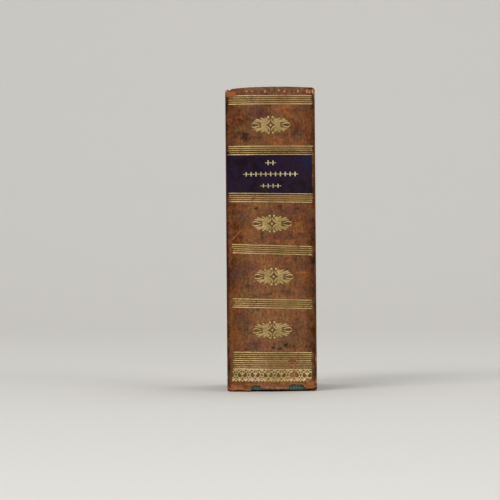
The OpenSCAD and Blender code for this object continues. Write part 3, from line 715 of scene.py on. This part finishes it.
def drawFleuron(bm):
    for side in ((1, 1), (1, -1), (-1, 1), (-1, -1)):
        for k, points in enumerate(fleuronLeaves):
            stroke(bm, *points, along=9, height=0.055, lift=0.012 * (k % 3), side=side, vein=0.9)
        # the loop round the dark slit
        finish(leaf(bm, 5.3, 0.3, -2.6, 6.8, 0.8, 1.22, 0.6, 0.07, 0.03, side, 14, skew=1.75), 1)
        stroke(bm, 3.2, 0.1, 0.1, 3.3, 1.0, 0.3, lift=0.02, side=side)  # frame of the star
        stroke(bm, 0.1, 3.1, 1.2, 4.2, 0.4, -0.2, lift=0.01, side=side)
        finish(stud(bm, 1.36, 4.6, 0.84, side=side), 1)
    for turn in (0, 90, 180, 270):
        finish(leaf(bm, *turned(0.1, 0, turn), turn, 0.72, 0.8, 0, 0.4, 0.05), 1)
    for side in ((1, 1), (-1, 1)):
        leaf(bm, 2.8, 0, 0, 3.0, 1.1, 0, 0.5, 0.04, 0.02, side)


def makeFleuron(i):
    bm = flatDrawing()
    drawFleuron(bm)
    across, up = fleurons["places"][i]
    for v in bm.verts:
        x, z = turned(v.co.x, v.co.y, fleurons["tilts"][i])
        v.co.x, v.co.y = across + x, up + z
    name = "gilt_fleuron_%d" % (i + 1)
    pressOn(name, bm, [leafGilt, brightGilt], name)


roll = {"top": 13.2, "first": -21.6, "repeat": 7.72, "count": 7, "reach": 23.7}
# One half of a repeat of the roll: base across and up, tip across and up, width, bow
latticeBars = [  # they leave a small lozenge open
    (1.25, 9.6, 0, 11.0, 0.8, 0), (1.25, 9.6, 0, 8.2, 0.8, 0), (0.8, 10.3, 3.76, 12.7, 0.95, 0.25),
    (0.8, 8.9, 3.76, 7.0, 0.95, -0.25), (0.2, 12.8, 1.5, 11.5, 0.75, 0), (0.2, 6.9, 1.4, 7.9, 0.7, 0),
]
flowerBars = [(0, 9.3, 1.45, 11.3, 1.15, 0.15), (0, 8.8, 1.3, 7.7, 0.8, 0)]
latticePosts = [(10.8, 12.9, 0.85), (8.4, 6.9, 0.85)]  # from, to, width


def makeTailRoll():
    bm = flatDrawing()
    slant = fillets["slants"][5]
    for k, z in enumerate((16.9, 15.7, 14.4)):
        finish(strip(bm, -23.5, 23.9, z, fillets["fine"], slant, 3.0 + k), 1)
    finish(strip(bm, -23.4, 23.7, roll["top"] - 0.1, 0.7, slant, 8.0), 2)
    half = roll["repeat"] / 2
    flat, beads = [], []
    for i in range(roll["count"]):
        x = roll["first"] + i * roll["repeat"]
        for side in (1, -1):
            for x0, z0, x1, z1, width, bow in latticeBars:
                flat += stroke(bm, x + side * x0, z0, x + side * x1, z1, width, side * bow)
        for z0, z1, width in latticePosts:
            flat += stroke(bm, x, z0, x, z1, width)
        x += half
        flat += stroke(bm, x, 7.0, x, 12.8, 0.75)  # a flower on its stem
        for side in (1, -1):
            for x0, z0, x1, z1, width, bow in flowerBars:
                flat += stroke(bm, x + side * x0, z0, x + side * x1, z1, width, side * bow)
    for i in range(2 * roll["count"]):  # scallops with beads under them
        x = roll["first"] + (i - 0.5) * half
        beads += stroke(bm, x - 1.85, 6.3, x + 1.85, 6.3, 1.0, 0.62)
        beads += stud(bm, x, 6.15, 0.64) + stud(bm, x + half / 2, 6.1, 0.58)
    finish(beads, 2)
    past = [f for f in bm.faces if abs(f.calc_center_median().x) > roll["reach"]]
    bmesh.ops.delete(bm, geom=past, context="FACES")
    for v in flat + beads:
        if v.is_valid:
            v.co.y -= fall(v.co.x, slant)
    pressOn("tail_roll_gilt", bm, [rollGilt, brightGilt, beadGilt], "tail_roll")


ornament = {"rows": ((135.8, 2, 1.05), (129.1, 11, 1.0), (122.1, 4, 0.92)), "pitch": 2.9}  # up, count, size


def makeLabelOrnament():
    bm = flatDrawing()
    for z, count, size in ornament["rows"]:
        for i in range(count):
            x = (i - (count - 1) / 2) * ornament["pitch"]
            for turn, length, width in ((0, 1.0, 0.7), (180, 1.0, 0.7), (90, 1.5, 0.8), (270, 1.5, 0.8)):
                leaf(bm, x, z, turn, length * size, width * size, 0, 0.5, 0.04, along=6)
        for i in range(count + 1):
            stud(bm, (i - count / 2) * ornament["pitch"], z, 0.36, 0.05)
    pressOn("label_ornament_gilt", bm, [labelGilt], "label_ornament")


for i in range(len(fillets["places"])):
    makeFillet(i)
for i in range(len(fleurons["places"])):
    makeFleuron(i)
makeTailRoll()
makeLabelOrnament()
print("gilt tooling made")


def makeLabel():
    bm = bmesh.new()
    for v in addGrid(bm, 108, 60):
        s = label["left"] + (label["right"] - label["left"]) * (v.co.x + 0.5)
        low, high = labelEnds(s)
        z = low + (high - low) * (v.co.y + 0.5) + 0.1 * ripple(s * 0.2, v.co.y, 0.0)
        v.co = (*skin(s, -labelHeight(s, z) - unevenness(skin(s)[0], z) - 0.012), z)

    def edgeWear(p):
        low, high = labelEnds(p.x)
        scuffed = 1.3 + 0.9 * ripple(p.x * 0.5, p.z * 0.5, 2.0)
        edge = min(p.z - low, high - p.z, 26.6 + p.x, 24.9 - p.x)
        return 0.7 * ease(1 - edge / scuffed), 0, 0, 0

    paintWear(bm, edgeWear)
    addPiece("title_label_skin", bm, [labelGoatskin], "book_block", ["title_label"], 0.1)


makeLabel()
print("label made")


# --- endbands: silk wound side by side over a cord and tied down over the folds

# Twisted silk, faded from green: close threads with a soft sheen, with painted shade where they sink in and
# painted highlights on their crests
def silkMaterial():
    material, add, place, dirt = newMaterial("faded_green_silk", (2.5, 4.0, 0.5, 0))
    crest = add("SeparateColor", [add("Attribute", attribute_name="wear")])
    # painted shade between the threads and painted highlight on their crests
    tone = add("Math", [dirt, 0.5, crest], operation="MULTIPLY_ADD")
    colour = add("ValToRGB", [tone], stops=[(0.4, "#12150f"), (0.85, "#33493f"), (1.0, "#6a8270")])
    twist = add("TexWave", {"Vector": place, "Scale": 1 / (0.6 * mm), "Distortion": 1.0}, 1,
                bands_direction="DIAGONAL")
    return finishMaterial(material, add, colour, (), [(twist, 0.3, 0.05)],
                          {"Roughness": 0.62, "Sheen Weight": 0.25})


silk = silkMaterial()
endband = {
    "radius": 1.0, "halfAngle": 17.7, "threads": 46, "perThread": 8, "round": 14, "rise": 0.28,
    "skirt": 7.0, "skirtRows": 10, "skirtOut": 0.38,
}


def makeEndband(name, pageEnd, up, node):
    e = endband
    bm = bmesh.new()
    rows = e["round"] + e["skirtRows"]
    addGrid(bm, e["threads"] * e["perThread"], rows)
    layer = bm.verts.layers.float_color.new("wear")
    for v in bm.verts:
        t, row = v.co.x + 0.5, round((v.co.y + 0.5) * rows)
        turn = radians(e["halfAngle"]) * (2 * t - 1)
        crest = abs(sin(pi * t * e["threads"]))
        out = e["rise"] * (crest - 1)
        flat = foldRadius + e["skirtOut"] + out
        if row < e["skirtRows"]:
            r, z = flat, pageEnd - up * e["skirt"] * (1 - row / e["skirtRows"])
        else:
            a = -0.55 + (row - e["skirtRows"]) / e["round"] * (pi + 1.3)
            r = foldRadius - e["radius"] + (e["radius"] + out) * cos(a)
            r = max(r, flat) if a < -0.2 else r
            z = pageEnd + up * e["radius"] * (1 + sin(a))
        v[layer] = (crest, 0, 0, 0)
        v.co = (r * sin(turn), backRadius - r * cos(turn), z)
    if up < 0:
        bmesh.ops.reverse_faces(bm, faces=bm.faces)
    addPiece(name, bm, [silk], "book_block", [node], 0.25, crease=60)


makeEndband("head_band_silk", pageTop, 1, "head_band")
makeEndband("tail_band_silk", book["square"], -1, "tail_band")
print("endbands made")


# --- pages

# Rag paper, yellowed and foxed; the cut edges show the leaves as fine lines
def paperMaterial(name, light, dark, edges=False, burn=False):
    material, add, place, cloud, height = newMaterial(name, (30, 5.0, 0.6, 0), (1.6, 4.0, 0.7, 0))
    tone = add("Math", [height, 0.25, cloud], operation="MULTIPLY_ADD")
    if edges:  # leaves of 0.08 mm, drawn in small groups of 0.3 mm so that they show
        fine = add("Mapping", {"Vector": place, "Scale": (1 / (0.3 * mm), 5.0, 5.0)})
        height = add("TexNoise", {"Vector": fine, "Scale": 1.0, "Detail": 4.0, "Roughness": 0.75})
        quires = add("Mapping", {"Vector": place, "Scale": (1 / (2.1 * mm), 3.0, 3.0)})
        groups = add("TexNoise", {"Vector": quires, "Scale": 1.0, "Detail": 2.0})
        tone = add("Math", [groups, 0.6, height], operation="MULTIPLY_ADD")
        tone = add("Math", [tone, 0.5, cloud], operation="MULTIPLY_ADD")
        tone = add("Math", [tone, -0.3], operation="ADD")
    colour = add("ValToRGB", [tone], stops=[(0.35, dark), (0.75, light)])
    # foxing: brown specks where the paper has rusted
    cells = add("TexVoronoi", {"Vector": place, "Scale": 1 / (9 * mm)}, None)
    spot = add("MapRange", [cells["Distance"], 0.2, 0.05, 0.0, 0.5])
    chosen = add("MapRange", [add("SeparateColor", [cells["Color"]]), 0.6, 0.9, 0.0, 1.0])
    layers = [(add("Math", [spot, chosen], operation="MULTIPLY"), "#9a6b3c")]
    if burn:  # browned by the leather of the turn-ins that it faces
        brown = add("SeparateColor", [add("Attribute", attribute_name="wear")])
        layers.append((add("Math", [brown, cloud], operation="MULTIPLY"), "#8a6238"))
    return finishMaterial(material, add, colour, layers, [(height, 0.5, 0.12)],
                          {"Roughness": 0.85, "Specular IOR Level": 0.25})


pageEdges = paperMaterial("rag_paper_cut_edges", "#dcc8a6", "#a4835a", edges=True)
endpaper = paperMaterial("laid_endpaper", "#e0d3b0", "#cdbb92", burn=True)

pages = {
    "columns": 132, "rows": 46, "heightSteps": 34,
    "shoulderTip": 25.85, "foreEdgeY": 109.2,
    "quire": 0.9, "ragged": 0.14,
}


def pagePoint(c, t):  # c runs across the leaves from -1 to 1, t from their folds to the fore-edge
    x0, x1 = pages["shoulderTip"] * c, pageHalf * c
    y0 = backRadius - sqrt(foldRadius ** 2 - x0 ** 2)
    bulge = sqrt(foldRadius ** 2 - x1 ** 2) - sqrt(foldRadius ** 2 - pageHalf ** 2)
    group = ripple(x1 / pages["quire"], 2.2, 0.0)
    y2 = pages["foreEdgeY"] - bulge - pages["ragged"] * (1 + group) * (1 - abs(c) ** 8)
    bend = (8.35 - y0) + (1 - abs(c)) * 7.0
    y = y0 + bend * min(t / 0.25, 1) + (y2 - y0 - bend) * max((t - 0.25) / 0.75, 0)
    return x0 + (x1 - x0) * ease((y - y0) / bend), y


def makePages():
    bm = bmesh.new()
    for v in addGrid(bm, pages["columns"], pages["rows"]):
        v.co = (*pagePoint(v.co.x * 2, v.co.y + 0.5), pageTop)
    walls = bmesh.ops.extrude_face_region(bm, geom=bm.faces[:])["geom"]
    moved = [g for g in walls if isinstance(g, bmesh.types.BMVert)]
    bmesh.ops.translate(bm, vec=(0, 0, book["square"] - pageTop), verts=moved)
    bmesh.ops.recalc_face_normals(bm, faces=bm.faces)
    upright = [e for e in bm.edges if abs(e.verts[0].co.z - e.verts[1].co.z) > 1]
    bmesh.ops.subdivide_edges(bm, edges=upright, cuts=pages["heightSteps"], use_grid_fill=True)
    for v in bm.verts:
        x, y, z = v.co
        if z > pageTop - 0.01 or z < book["square"] + 0.01:  # the head and tail were cut leaf by leaf
            group = ripple(x / pages["quire"], 6.1, 0.0)
            v.co.z += copysign(0.06, bookHeight / 2 - z) * (1 + group) * 0.5
        elif y > 60:
            v.co.y -= 0.1 * (1 + ripple(x * 0.6, z * 0.03, 1.0)) * (1 - abs(x / pageHalf) ** 8)
    addPiece("page_block", bm, [pageEdges], "book_block", ["text_block"], crease=35)


makePages()
print("pages made")


# --- covers: boards covered in calf that is turned in round their edges
cover = {
    "inner": 22.8,  # inner face of the turned-in leather
    "jointY": 8.5, "turnIn": 13.0, "turnInY": 9.12, "thick": 0.45,
    "corner": 2.4, "edge": 0.9, "rubbedCorner": 7.0, "bluntCorner": 9.0,
    "blind": 4.0, "blindGap": 1.3, "blindHalf": 0.4, "blindDepth": 0.16,
    "rowsUp": 45, "rowsDeep": 27,
}


def blindLine(y, z):  # two plain lines pressed along the edges of each cover, 0 to 1
    inside = min(z, bookHeight - z, bookDepth - y, y - cover["jointY"] - 1.0)
    off = min(abs(inside - cover["blind"]), abs(inside - cover["blind"] - cover["blindGap"]))
    return ease(1 - off / cover["blindHalf"])


def insideTurnIn(y, z):  # how far a place is from the turn-ins of the head, tail and fore-edge
    return min(z, bookHeight - z, bookDepth - y) - cover["turnIn"]


def coverWear(p, side):
    y, z = p.y, p.z
    ends, fore = min(bookHeight - z, z), bookDepth - y
    ragged = ripple(y * 0.5, z * 0.5, side * 4.0)
    rubbed = 0.95 * ease((cover["rubbedCorner"] - hypot(ends, fore) + 2.5 * ragged) / 3.5)
    handled = 0.45 + 0.55 * ripple(y * 0.06, z * 0.06, side * 5.0)
    rubbed = max(rubbed, handled * ease((1.1 - min(ends, fore) + 0.9 * ragged) / 0.9))
    stainsAndShade = 0.5 * ease((ripple(y * 0.06, z * 0.05, side * 7.0) - 0.3) / 0.15)
    if abs(p.x) > 26:  # the outer face: larger patches, and the blind lines darkened by the hot tool
        patch = ripple(y * 0.04, z * 0.05, side * 2.0) + 0.35 * ragged
        rubbed = max(rubbed, 0.24 * ease((patch - 0.2) / 0.5))
        stainsAndShade = max(stainsAndShade, 1.1 * blindLine(y, z))
    plum = ease((ripple(y * 0.09, z * 0.08, side * 9.0) - 0.05) / 0.3)
    return max(rubbed, 0), 0.0, stainsAndShade, plum


def makeCoverLeather(side, name):
    c, height, depth = cover, bookHeight, bookDepth
    wide, deep = halfThick - c["inner"], depth - c["jointY"]
    bm = bmesh.new()
    bmesh.ops.create_cube(bm, size=1.0)
    bmesh.ops.scale(bm, vec=(wide, deep, height), verts=bm.verts)
    bmesh.ops.translate(bm, vec=(c["inner"] + wide / 2, c["jointY"] + deep / 2, height / 2), verts=bm.verts)
    far = [e for e in bm.edges
           if all(v.co.y > 100 for v in e.verts) and abs(e.verts[0].co.x - e.verts[1].co.x) > 1]
    bmesh.ops.bevel(bm, geom=far, offset=c["corner"], affect="EDGES", segments=6, profile=0.5, material=-1)
    hinge = [f for f in bm.faces if f.calc_center_median().y < c["jointY"] + 0.1]
    bmesh.ops.delete(bm, geom=hinge, context="FACES")
    rim = [e for e in bm.edges
           if len(e.link_faces) == 2 and abs(e.verts[0].co.x - e.verts[1].co.x) < 0.01]
    bmesh.ops.bevel(bm, geom=rim, offset=c["edge"], affect="EDGES", segments=4, profile=0.5, material=-1)
    # cut the faces into a grid, so that the skin can be uneven: axis, place
    cuts = [(2, height * k / c["rowsUp"]) for k in range(1, c["rowsUp"])]
    cuts += [(1, c["turnInY"]), (1, c["jointY"] + 1.3)]
    cuts += [(1, c["jointY"] + deep * k / c["rowsDeep"]) for k in range(1, c["rowsDeep"])]
    for k in range(6):  # either side and the middle of the blind lines
        off = c["blind"] + (k // 3) * c["blindGap"] + (k % 3 - 1) * c["blindHalf"]
        cuts += [(2, off), (2, height - off), (1, depth - off), (1, c["jointY"] + 1.0 + off)]
    cuts += [(2, c["turnIn"]), (2, height - c["turnIn"]), (1, depth - c["turnIn"])]
    for axis, place in cuts:
        across = [0, 0, 0]
        across[axis] = 1
        bmesh.ops.bisect_plane(bm, geom=bm.verts[:] + bm.edges[:] + bm.faces[:],
                               plane_co=[place * a for a in across], plane_no=across)

    def uncovered(f):  # the inside is open between the turn-ins
        p = f.calc_center_median()
        return p.x < c["inner"] + 0.05 and (insideTurnIn(p.y, p.z) > 0 or p.y < c["turnInY"])

    bmesh.ops.delete(bm, geom=[f for f in bm.faces if uncovered(f)], context="FACES")
    for v in bm.verts:
        x, y, z = v.co
        if x > halfThick - 0.3:
            sunk = 0.05 + 0.05 * ripple(y * 0.06, z * 0.06, side * 3.0)
            sunk += 0.2 * ease((c["jointY"] + 1.4 - y) / 0.8)  # room for the leather of the joint
            v.co.x -= sunk + c["blindDepth"] * blindLine(y, z)
        near = hypot(min(z, height - z), depth - y) / c["bluntCorner"]  # knocked corners
        if near < 1:
            push = 0.35 * (1 - near) * (1 + ripple(y, z, side * 5.0))
            v.co.y -= push
            v.co.z += push if z < height / 2 else -push
    turnFaces(bm, Vector((1, 0, 0)), [f for f in bm.faces if f.calc_center_median().x > 26])
    if side < 0:
        bmesh.ops.scale(bm, vec=(-1, 1, 1), verts=bm.verts)
        bmesh.ops.reverse_faces(bm, faces=bm.faces)
    paintWear(bm, lambda p: coverWear(p, side))
    addPiece(name + "_cover_leather_skin", bm, [coverCalf], name + "_cover",
             [name + "_leather"], c["thick"], crease=50)


for side, name in sides:
    makeCoverLeather(side, name)
print("covers made")


# --- joints: the skin runs on from the back to the covers
joint = {"lap": 1.0, "reach": 1.7, "slack": 0.1, "thick": 0.2, "columns": 14, "rows": 220, "foot": 1.2}


def makeJoint(side, name):
    bm = bmesh.new()
    length = jointY + joint["reach"] - shoulderY + joint["lap"]
    for v in addGrid(bm, joint["columns"], joint["rows"]):
        across, t = v.co.x + 0.5, v.co.y + 0.5
        x, y = skin(backArc + shoulderArc - joint["lap"] + across * length)
        onCover = ease(y - jointY + 0.6)
        edgeX = side * min(x, 26.6)
        low = tailHeight(edgeX) + 0.1 if y < jointY else joint["foot"]
        low += (joint["foot"] - low) * onCover
        high = headHeight(edgeX) - 1.1
        high += (bookHeight - 0.6 - high) * onCover
        z = low + (high - low) * t
        sunk = 0.19 * ease(1 - min(across, 0.5 - v.co.x) * joint["columns"] / 1.5)
        ridge = 0.06 * ripple(y * 2.0, z * 0.3, side)
        v.co = (side * (x - sunk - max(ridge, 0)), y, z)
    turnFaces(bm, Vector((side, 0, 0)))

    def jointWear(p):
        rubbed = 0.42 + 0.35 * ripple(p.y * 1.5, p.z * 0.16, side * 6.0)
        rubbed *= 1.0 if side > 0 else 0.45
        return max(rubbed, placed(p.x, p.z, rubbedPlaces)), 0.0, 0.0, 0.4

    paintWear(bm, jointWear)
    piece = addPiece(name + "_cover_joint_skin", bm, [spineCalf], None, (),
                     joint["thick"], crease=70)
    x, y = side * halfThick * mm, (jointY - bookDepth / 2) * mm
    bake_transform(piece)


for side, name in sides:
    makeJoint(side, name)
print("joints made")


# --- endpapers
leafPaper = {
    "low": 2.9, "high": 175.5, "foreY": 108.1, "foldY": 8.0, "thick": 0.12,
    "faceX": 22.27, "foldX": 25.5, "fold": 0.85,
}
boardPaper = {
    "low": 4.5, "high": 173.9, "foreY": 107.5, "hingeY": 9.02, "thick": 0.15,
    "faceX": 22.63, "wrapX": 25.7, "columns": 68, "wrapColumns": 4,
}
gutter = {"foldY": 8.15, "split": 8.58, "thick": 0.06}


def makeFlyleaf(side, name):
    bm = bmesh.new()
    p = leafPaper
    for v in addGrid(bm, 60, 90):
        t, z = v.co.x + 0.5, p["low"] + (p["high"] - p["low"]) * (v.co.y + 0.5)
        y = p["foldY"] + (p["foreY"] - p["foldY"]) * t ** 1.6
        bend = ease((y - p["foldY"]) / p["fold"])
        x = p["foldX"] + (p["faceX"] - p["foldX"]) * bend
        cockle = 0.08 * ripple(y * 0.05, z * 0.035, side * 2.0) * ease((y - 15) / 20)
        y += 0.12 * ripple(z * 0.2, side * 3.0, 0.0) * ease((t - 0.9) / 0.1)
        v.co = (side * (x - 0.02 + min(cockle, 0.02)), y + 0.25 * (1 - bend), z)
    turnFaces(bm, Vector((side, 0, 0)))

    def leafBurn(p):
        edge = min(p.z - 2.8, 175.6 - p.z, 109.2 - p.y)
        ragged = ripple(p.y * 0.08, p.z * 0.08, side * 8.0)
        return 0.9 * ease((10.5 - edge + 2.0 * ragged) / 3.5), 0, 0, 0

    paintWear(bm, leafBurn)
    addPiece(name + "_free_leaf", bm, [endpaper], "book_block", [name + "_flyleaf"],
             p["thick"], crease=60)


def makePastedown(side, name):
    bm = bmesh.new()
    b = boardPaper
    for v in addGrid(bm, b["columns"], 100):
        column = round((v.co.x + 0.5) * b["columns"]) - b["wrapColumns"]
        z = b["low"] + (b["high"] - b["low"]) * (v.co.y + 0.5)
        if column < 0:  # the paper starts on the board's edge in the joint
            x = b["faceX"] + (b["wrapX"] - b["faceX"]) * -column / b["wrapColumns"]
            v.co = (side * x, b["hingeY"], z)
            continue
        y = b["hingeY"] + 0.05 + (b["foreY"] - b["hingeY"]) * column / (b["columns"] - b["wrapColumns"])
        sunk = 0.22 * ease((insideTurnIn(y, z) + 0.6) / 1.2)  # the turn-ins show through as a step
        sunk += 0.03 * ripple(y * 0.1, z * 0.1, side * 4.0)
        y += 0.1 * ripple(z * 0.15, side * 5.0, 0.0) * ease((v.co.x - 0.4) / 0.1)
        v.co = (side * (b["faceX"] + sunk), y, z)
    turnFaces(bm, Vector((-side, 0, 0)))

    def pasteBurn(p):
        ragged = ripple(p.y * 0.1, p.z * 0.1, side * 6.0)
        return 0.8 * ease((2.0 - insideTurnIn(p.y, p.z) + 1.5 * ragged) / 4), 0, 0, 0

    paintWear(bm, pasteBurn)
    addPiece(name + "_board_paper", bm, [endpaper], name + "_cover", [name + "_pastedown"],
             b["thick"], crease=60)


def makeBoardEnds(side, name):  # the turn-ins run round the hinge edge of the board at head and tail
    bm = bmesh.new()
    for low, high in ((0.5, boardPaper["low"] + 0.3), (boardPaper["high"] - 0.3, bookHeight - 0.5)):
        for v in addGrid(bm, 6, 8):
            x = 22.9 + (boardPaper["wrapX"] + 0.5 - 22.9) * (v.co.x + 0.5)
            v.co = (side * x, boardPaper["hingeY"] + 0.06, low + (high - low) * (v.co.y + 0.5))
    turnFaces(bm, Vector((0, -1, 0)))
    paintWear(bm, lambda p: (0.25, 0, 0, 0.5))
    addPiece(name + "_board_end_leather", bm, [coverCalf], name + "_cover", (),
             0.1, crease=60)


def makeGutter(side, name):  # the fold of the endpaper, from the leaf to the board
    bm = bmesh.new()
    for v in addGrid(bm, 7, 60):
        t = v.co.x + 0.5
        x = leafPaper["foldX"] + 0.2 * t + 0.12 * sin(pi * t)
        y = gutter["foldY"] + (boardPaper["hingeY"] - gutter["foldY"]) * t
        v.co = (side * x, y, boardPaper["low"] + (boardPaper["high"] - boardPaper["low"]) * (v.co.y + 0.5))
    bmesh.ops.recalc_face_normals(bm, faces=bm.faces)
    paintWear(bm, lambda p: (0.4, 0, 0, 0))
    piece = addPiece(name + "_gutter_paper", bm, [endpaper], None, (),
                     gutter["thick"], crease=70)
    x, y = side * leafPaper["foldX"] * mm, (gutter["split"] - bookDepth / 2) * mm
    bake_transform(piece)


for make in (makeFlyleaf, makePastedown, makeBoardEnds, makeGutter):
    for side, name in sides:
        make(side, name)
print("endpapers made")


# --- inner parts that keep their solids
pasteboard = plainMaterial("pasteboard", "#8f7c60", "#6b5a42", 1.2, 0.9)  # layers of waste paper, felted
liningPaper = plainMaterial("lining_paper", "#c2ad86", "#94805c", 0.9, 0.85)  # rough, stiff with old glue
hempCord = plainMaterial("hemp_cord", "#c0a679", "#86704a", 0.35, 0.85, (1, 1, 0.3))  # hairy and matt
cords = ["head_band_core", "tail_band_core", "front_cord_slips", "back_cord_slips"]
cords += ["sewing_cord_%d" % i for i in range(1, 5)]
for names, material in (
    (["front_board", "back_board", "spine_stiffener"], pasteboard),
    (["spine_lining"], liningPaper),
    (cords, hempCord),
    (["tail_turn_in"], rawCalf),
):
    for name in names:
        nodes[name].data.materials.clear()
        nodes[name].data.materials.append(material)


# --- floor, light and camera: metres
stage = {"width": 8, "front": -3.5, "flat": 5.0, "curve": 1.2, "length": 9.0}


def makeStage():
    material, add, place = newMaterial("pale_paper_backdrop")
    finishMaterial(material, add, "#dfddd8", (), (), {"Roughness": 0.9, "Specular IOR Level": 0.1})
    bm = bmesh.new()
    flat, r = stage["flat"], stage["curve"]
    for v in addGrid(bm, 2, 40):
        run = (v.co.y + 0.5) * stage["length"]
        a = min(max((run - flat) / r, 0), pi / 2)
        y = stage["front"] + min(run, flat) + r * sin(a)
        z = r - r * cos(a) + max(run - flat - r * pi / 2, 0)
        v.co = (v.co.x * stage["width"], y, z - 0.0002)
    meshObject("backdrop", bm, [material])


lamps = [
    # name, place, size, watts
    ("key", (-1.3, -2.3, 1.9), 1.5, 44.0),
    ("fill", (1.7, -2.2, 0.9), 1.6, 22.0),
    ("top", (0.2, 1.2, 2.4), 1.8, 16.0),
]


def makeLight():
    target = Vector((0, 0, 0.09))
    for name, place, size, watts in lamps:
        lamp = bpy.data.lights.new(name, "AREA")
        lamp.energy, lamp.size = watts, size
        lit = addObject(name, lamp)
        lit.location = place
        lit.rotation_euler = (target - Vector(place)).to_track_quat("-Z", "Y").to_euler()
    world = bpy.data.worlds.new("studio")
    bpy.context.scene.world = world
    world.use_nodes = True
    back = world.node_tree.nodes["Background"]
    back.inputs[0].default_value = hexColour("#f4f4f2")
    back.inputs[1].default_value = 0.45


camera = {"distance": 2.0, "seen": 0.297, "across": -0.0126, "up": 0.0841, "roll": 0.44, "sensor": 36.0}


def makeCamera():
    lens = bpy.data.cameras.new("camera")
    lens.sensor_width = camera["sensor"]
    lens.lens = camera["sensor"] * camera["distance"] / camera["seen"]
    lens.clip_start, lens.clip_end = 0.05, 50
    eye = addObject("camera", lens)
    eye.location = (camera["across"], -bookDepth / 2 * mm - camera["distance"], camera["up"])
    eye.rotation_euler = (radians(90), radians(camera["roll"]), 0)
    bpy.context.scene.camera = eye


makeStage()
makeLight()
makeCamera()
bpy.context.scene.view_settings.view_transform = "Standard"
print("floor, light and camera made")
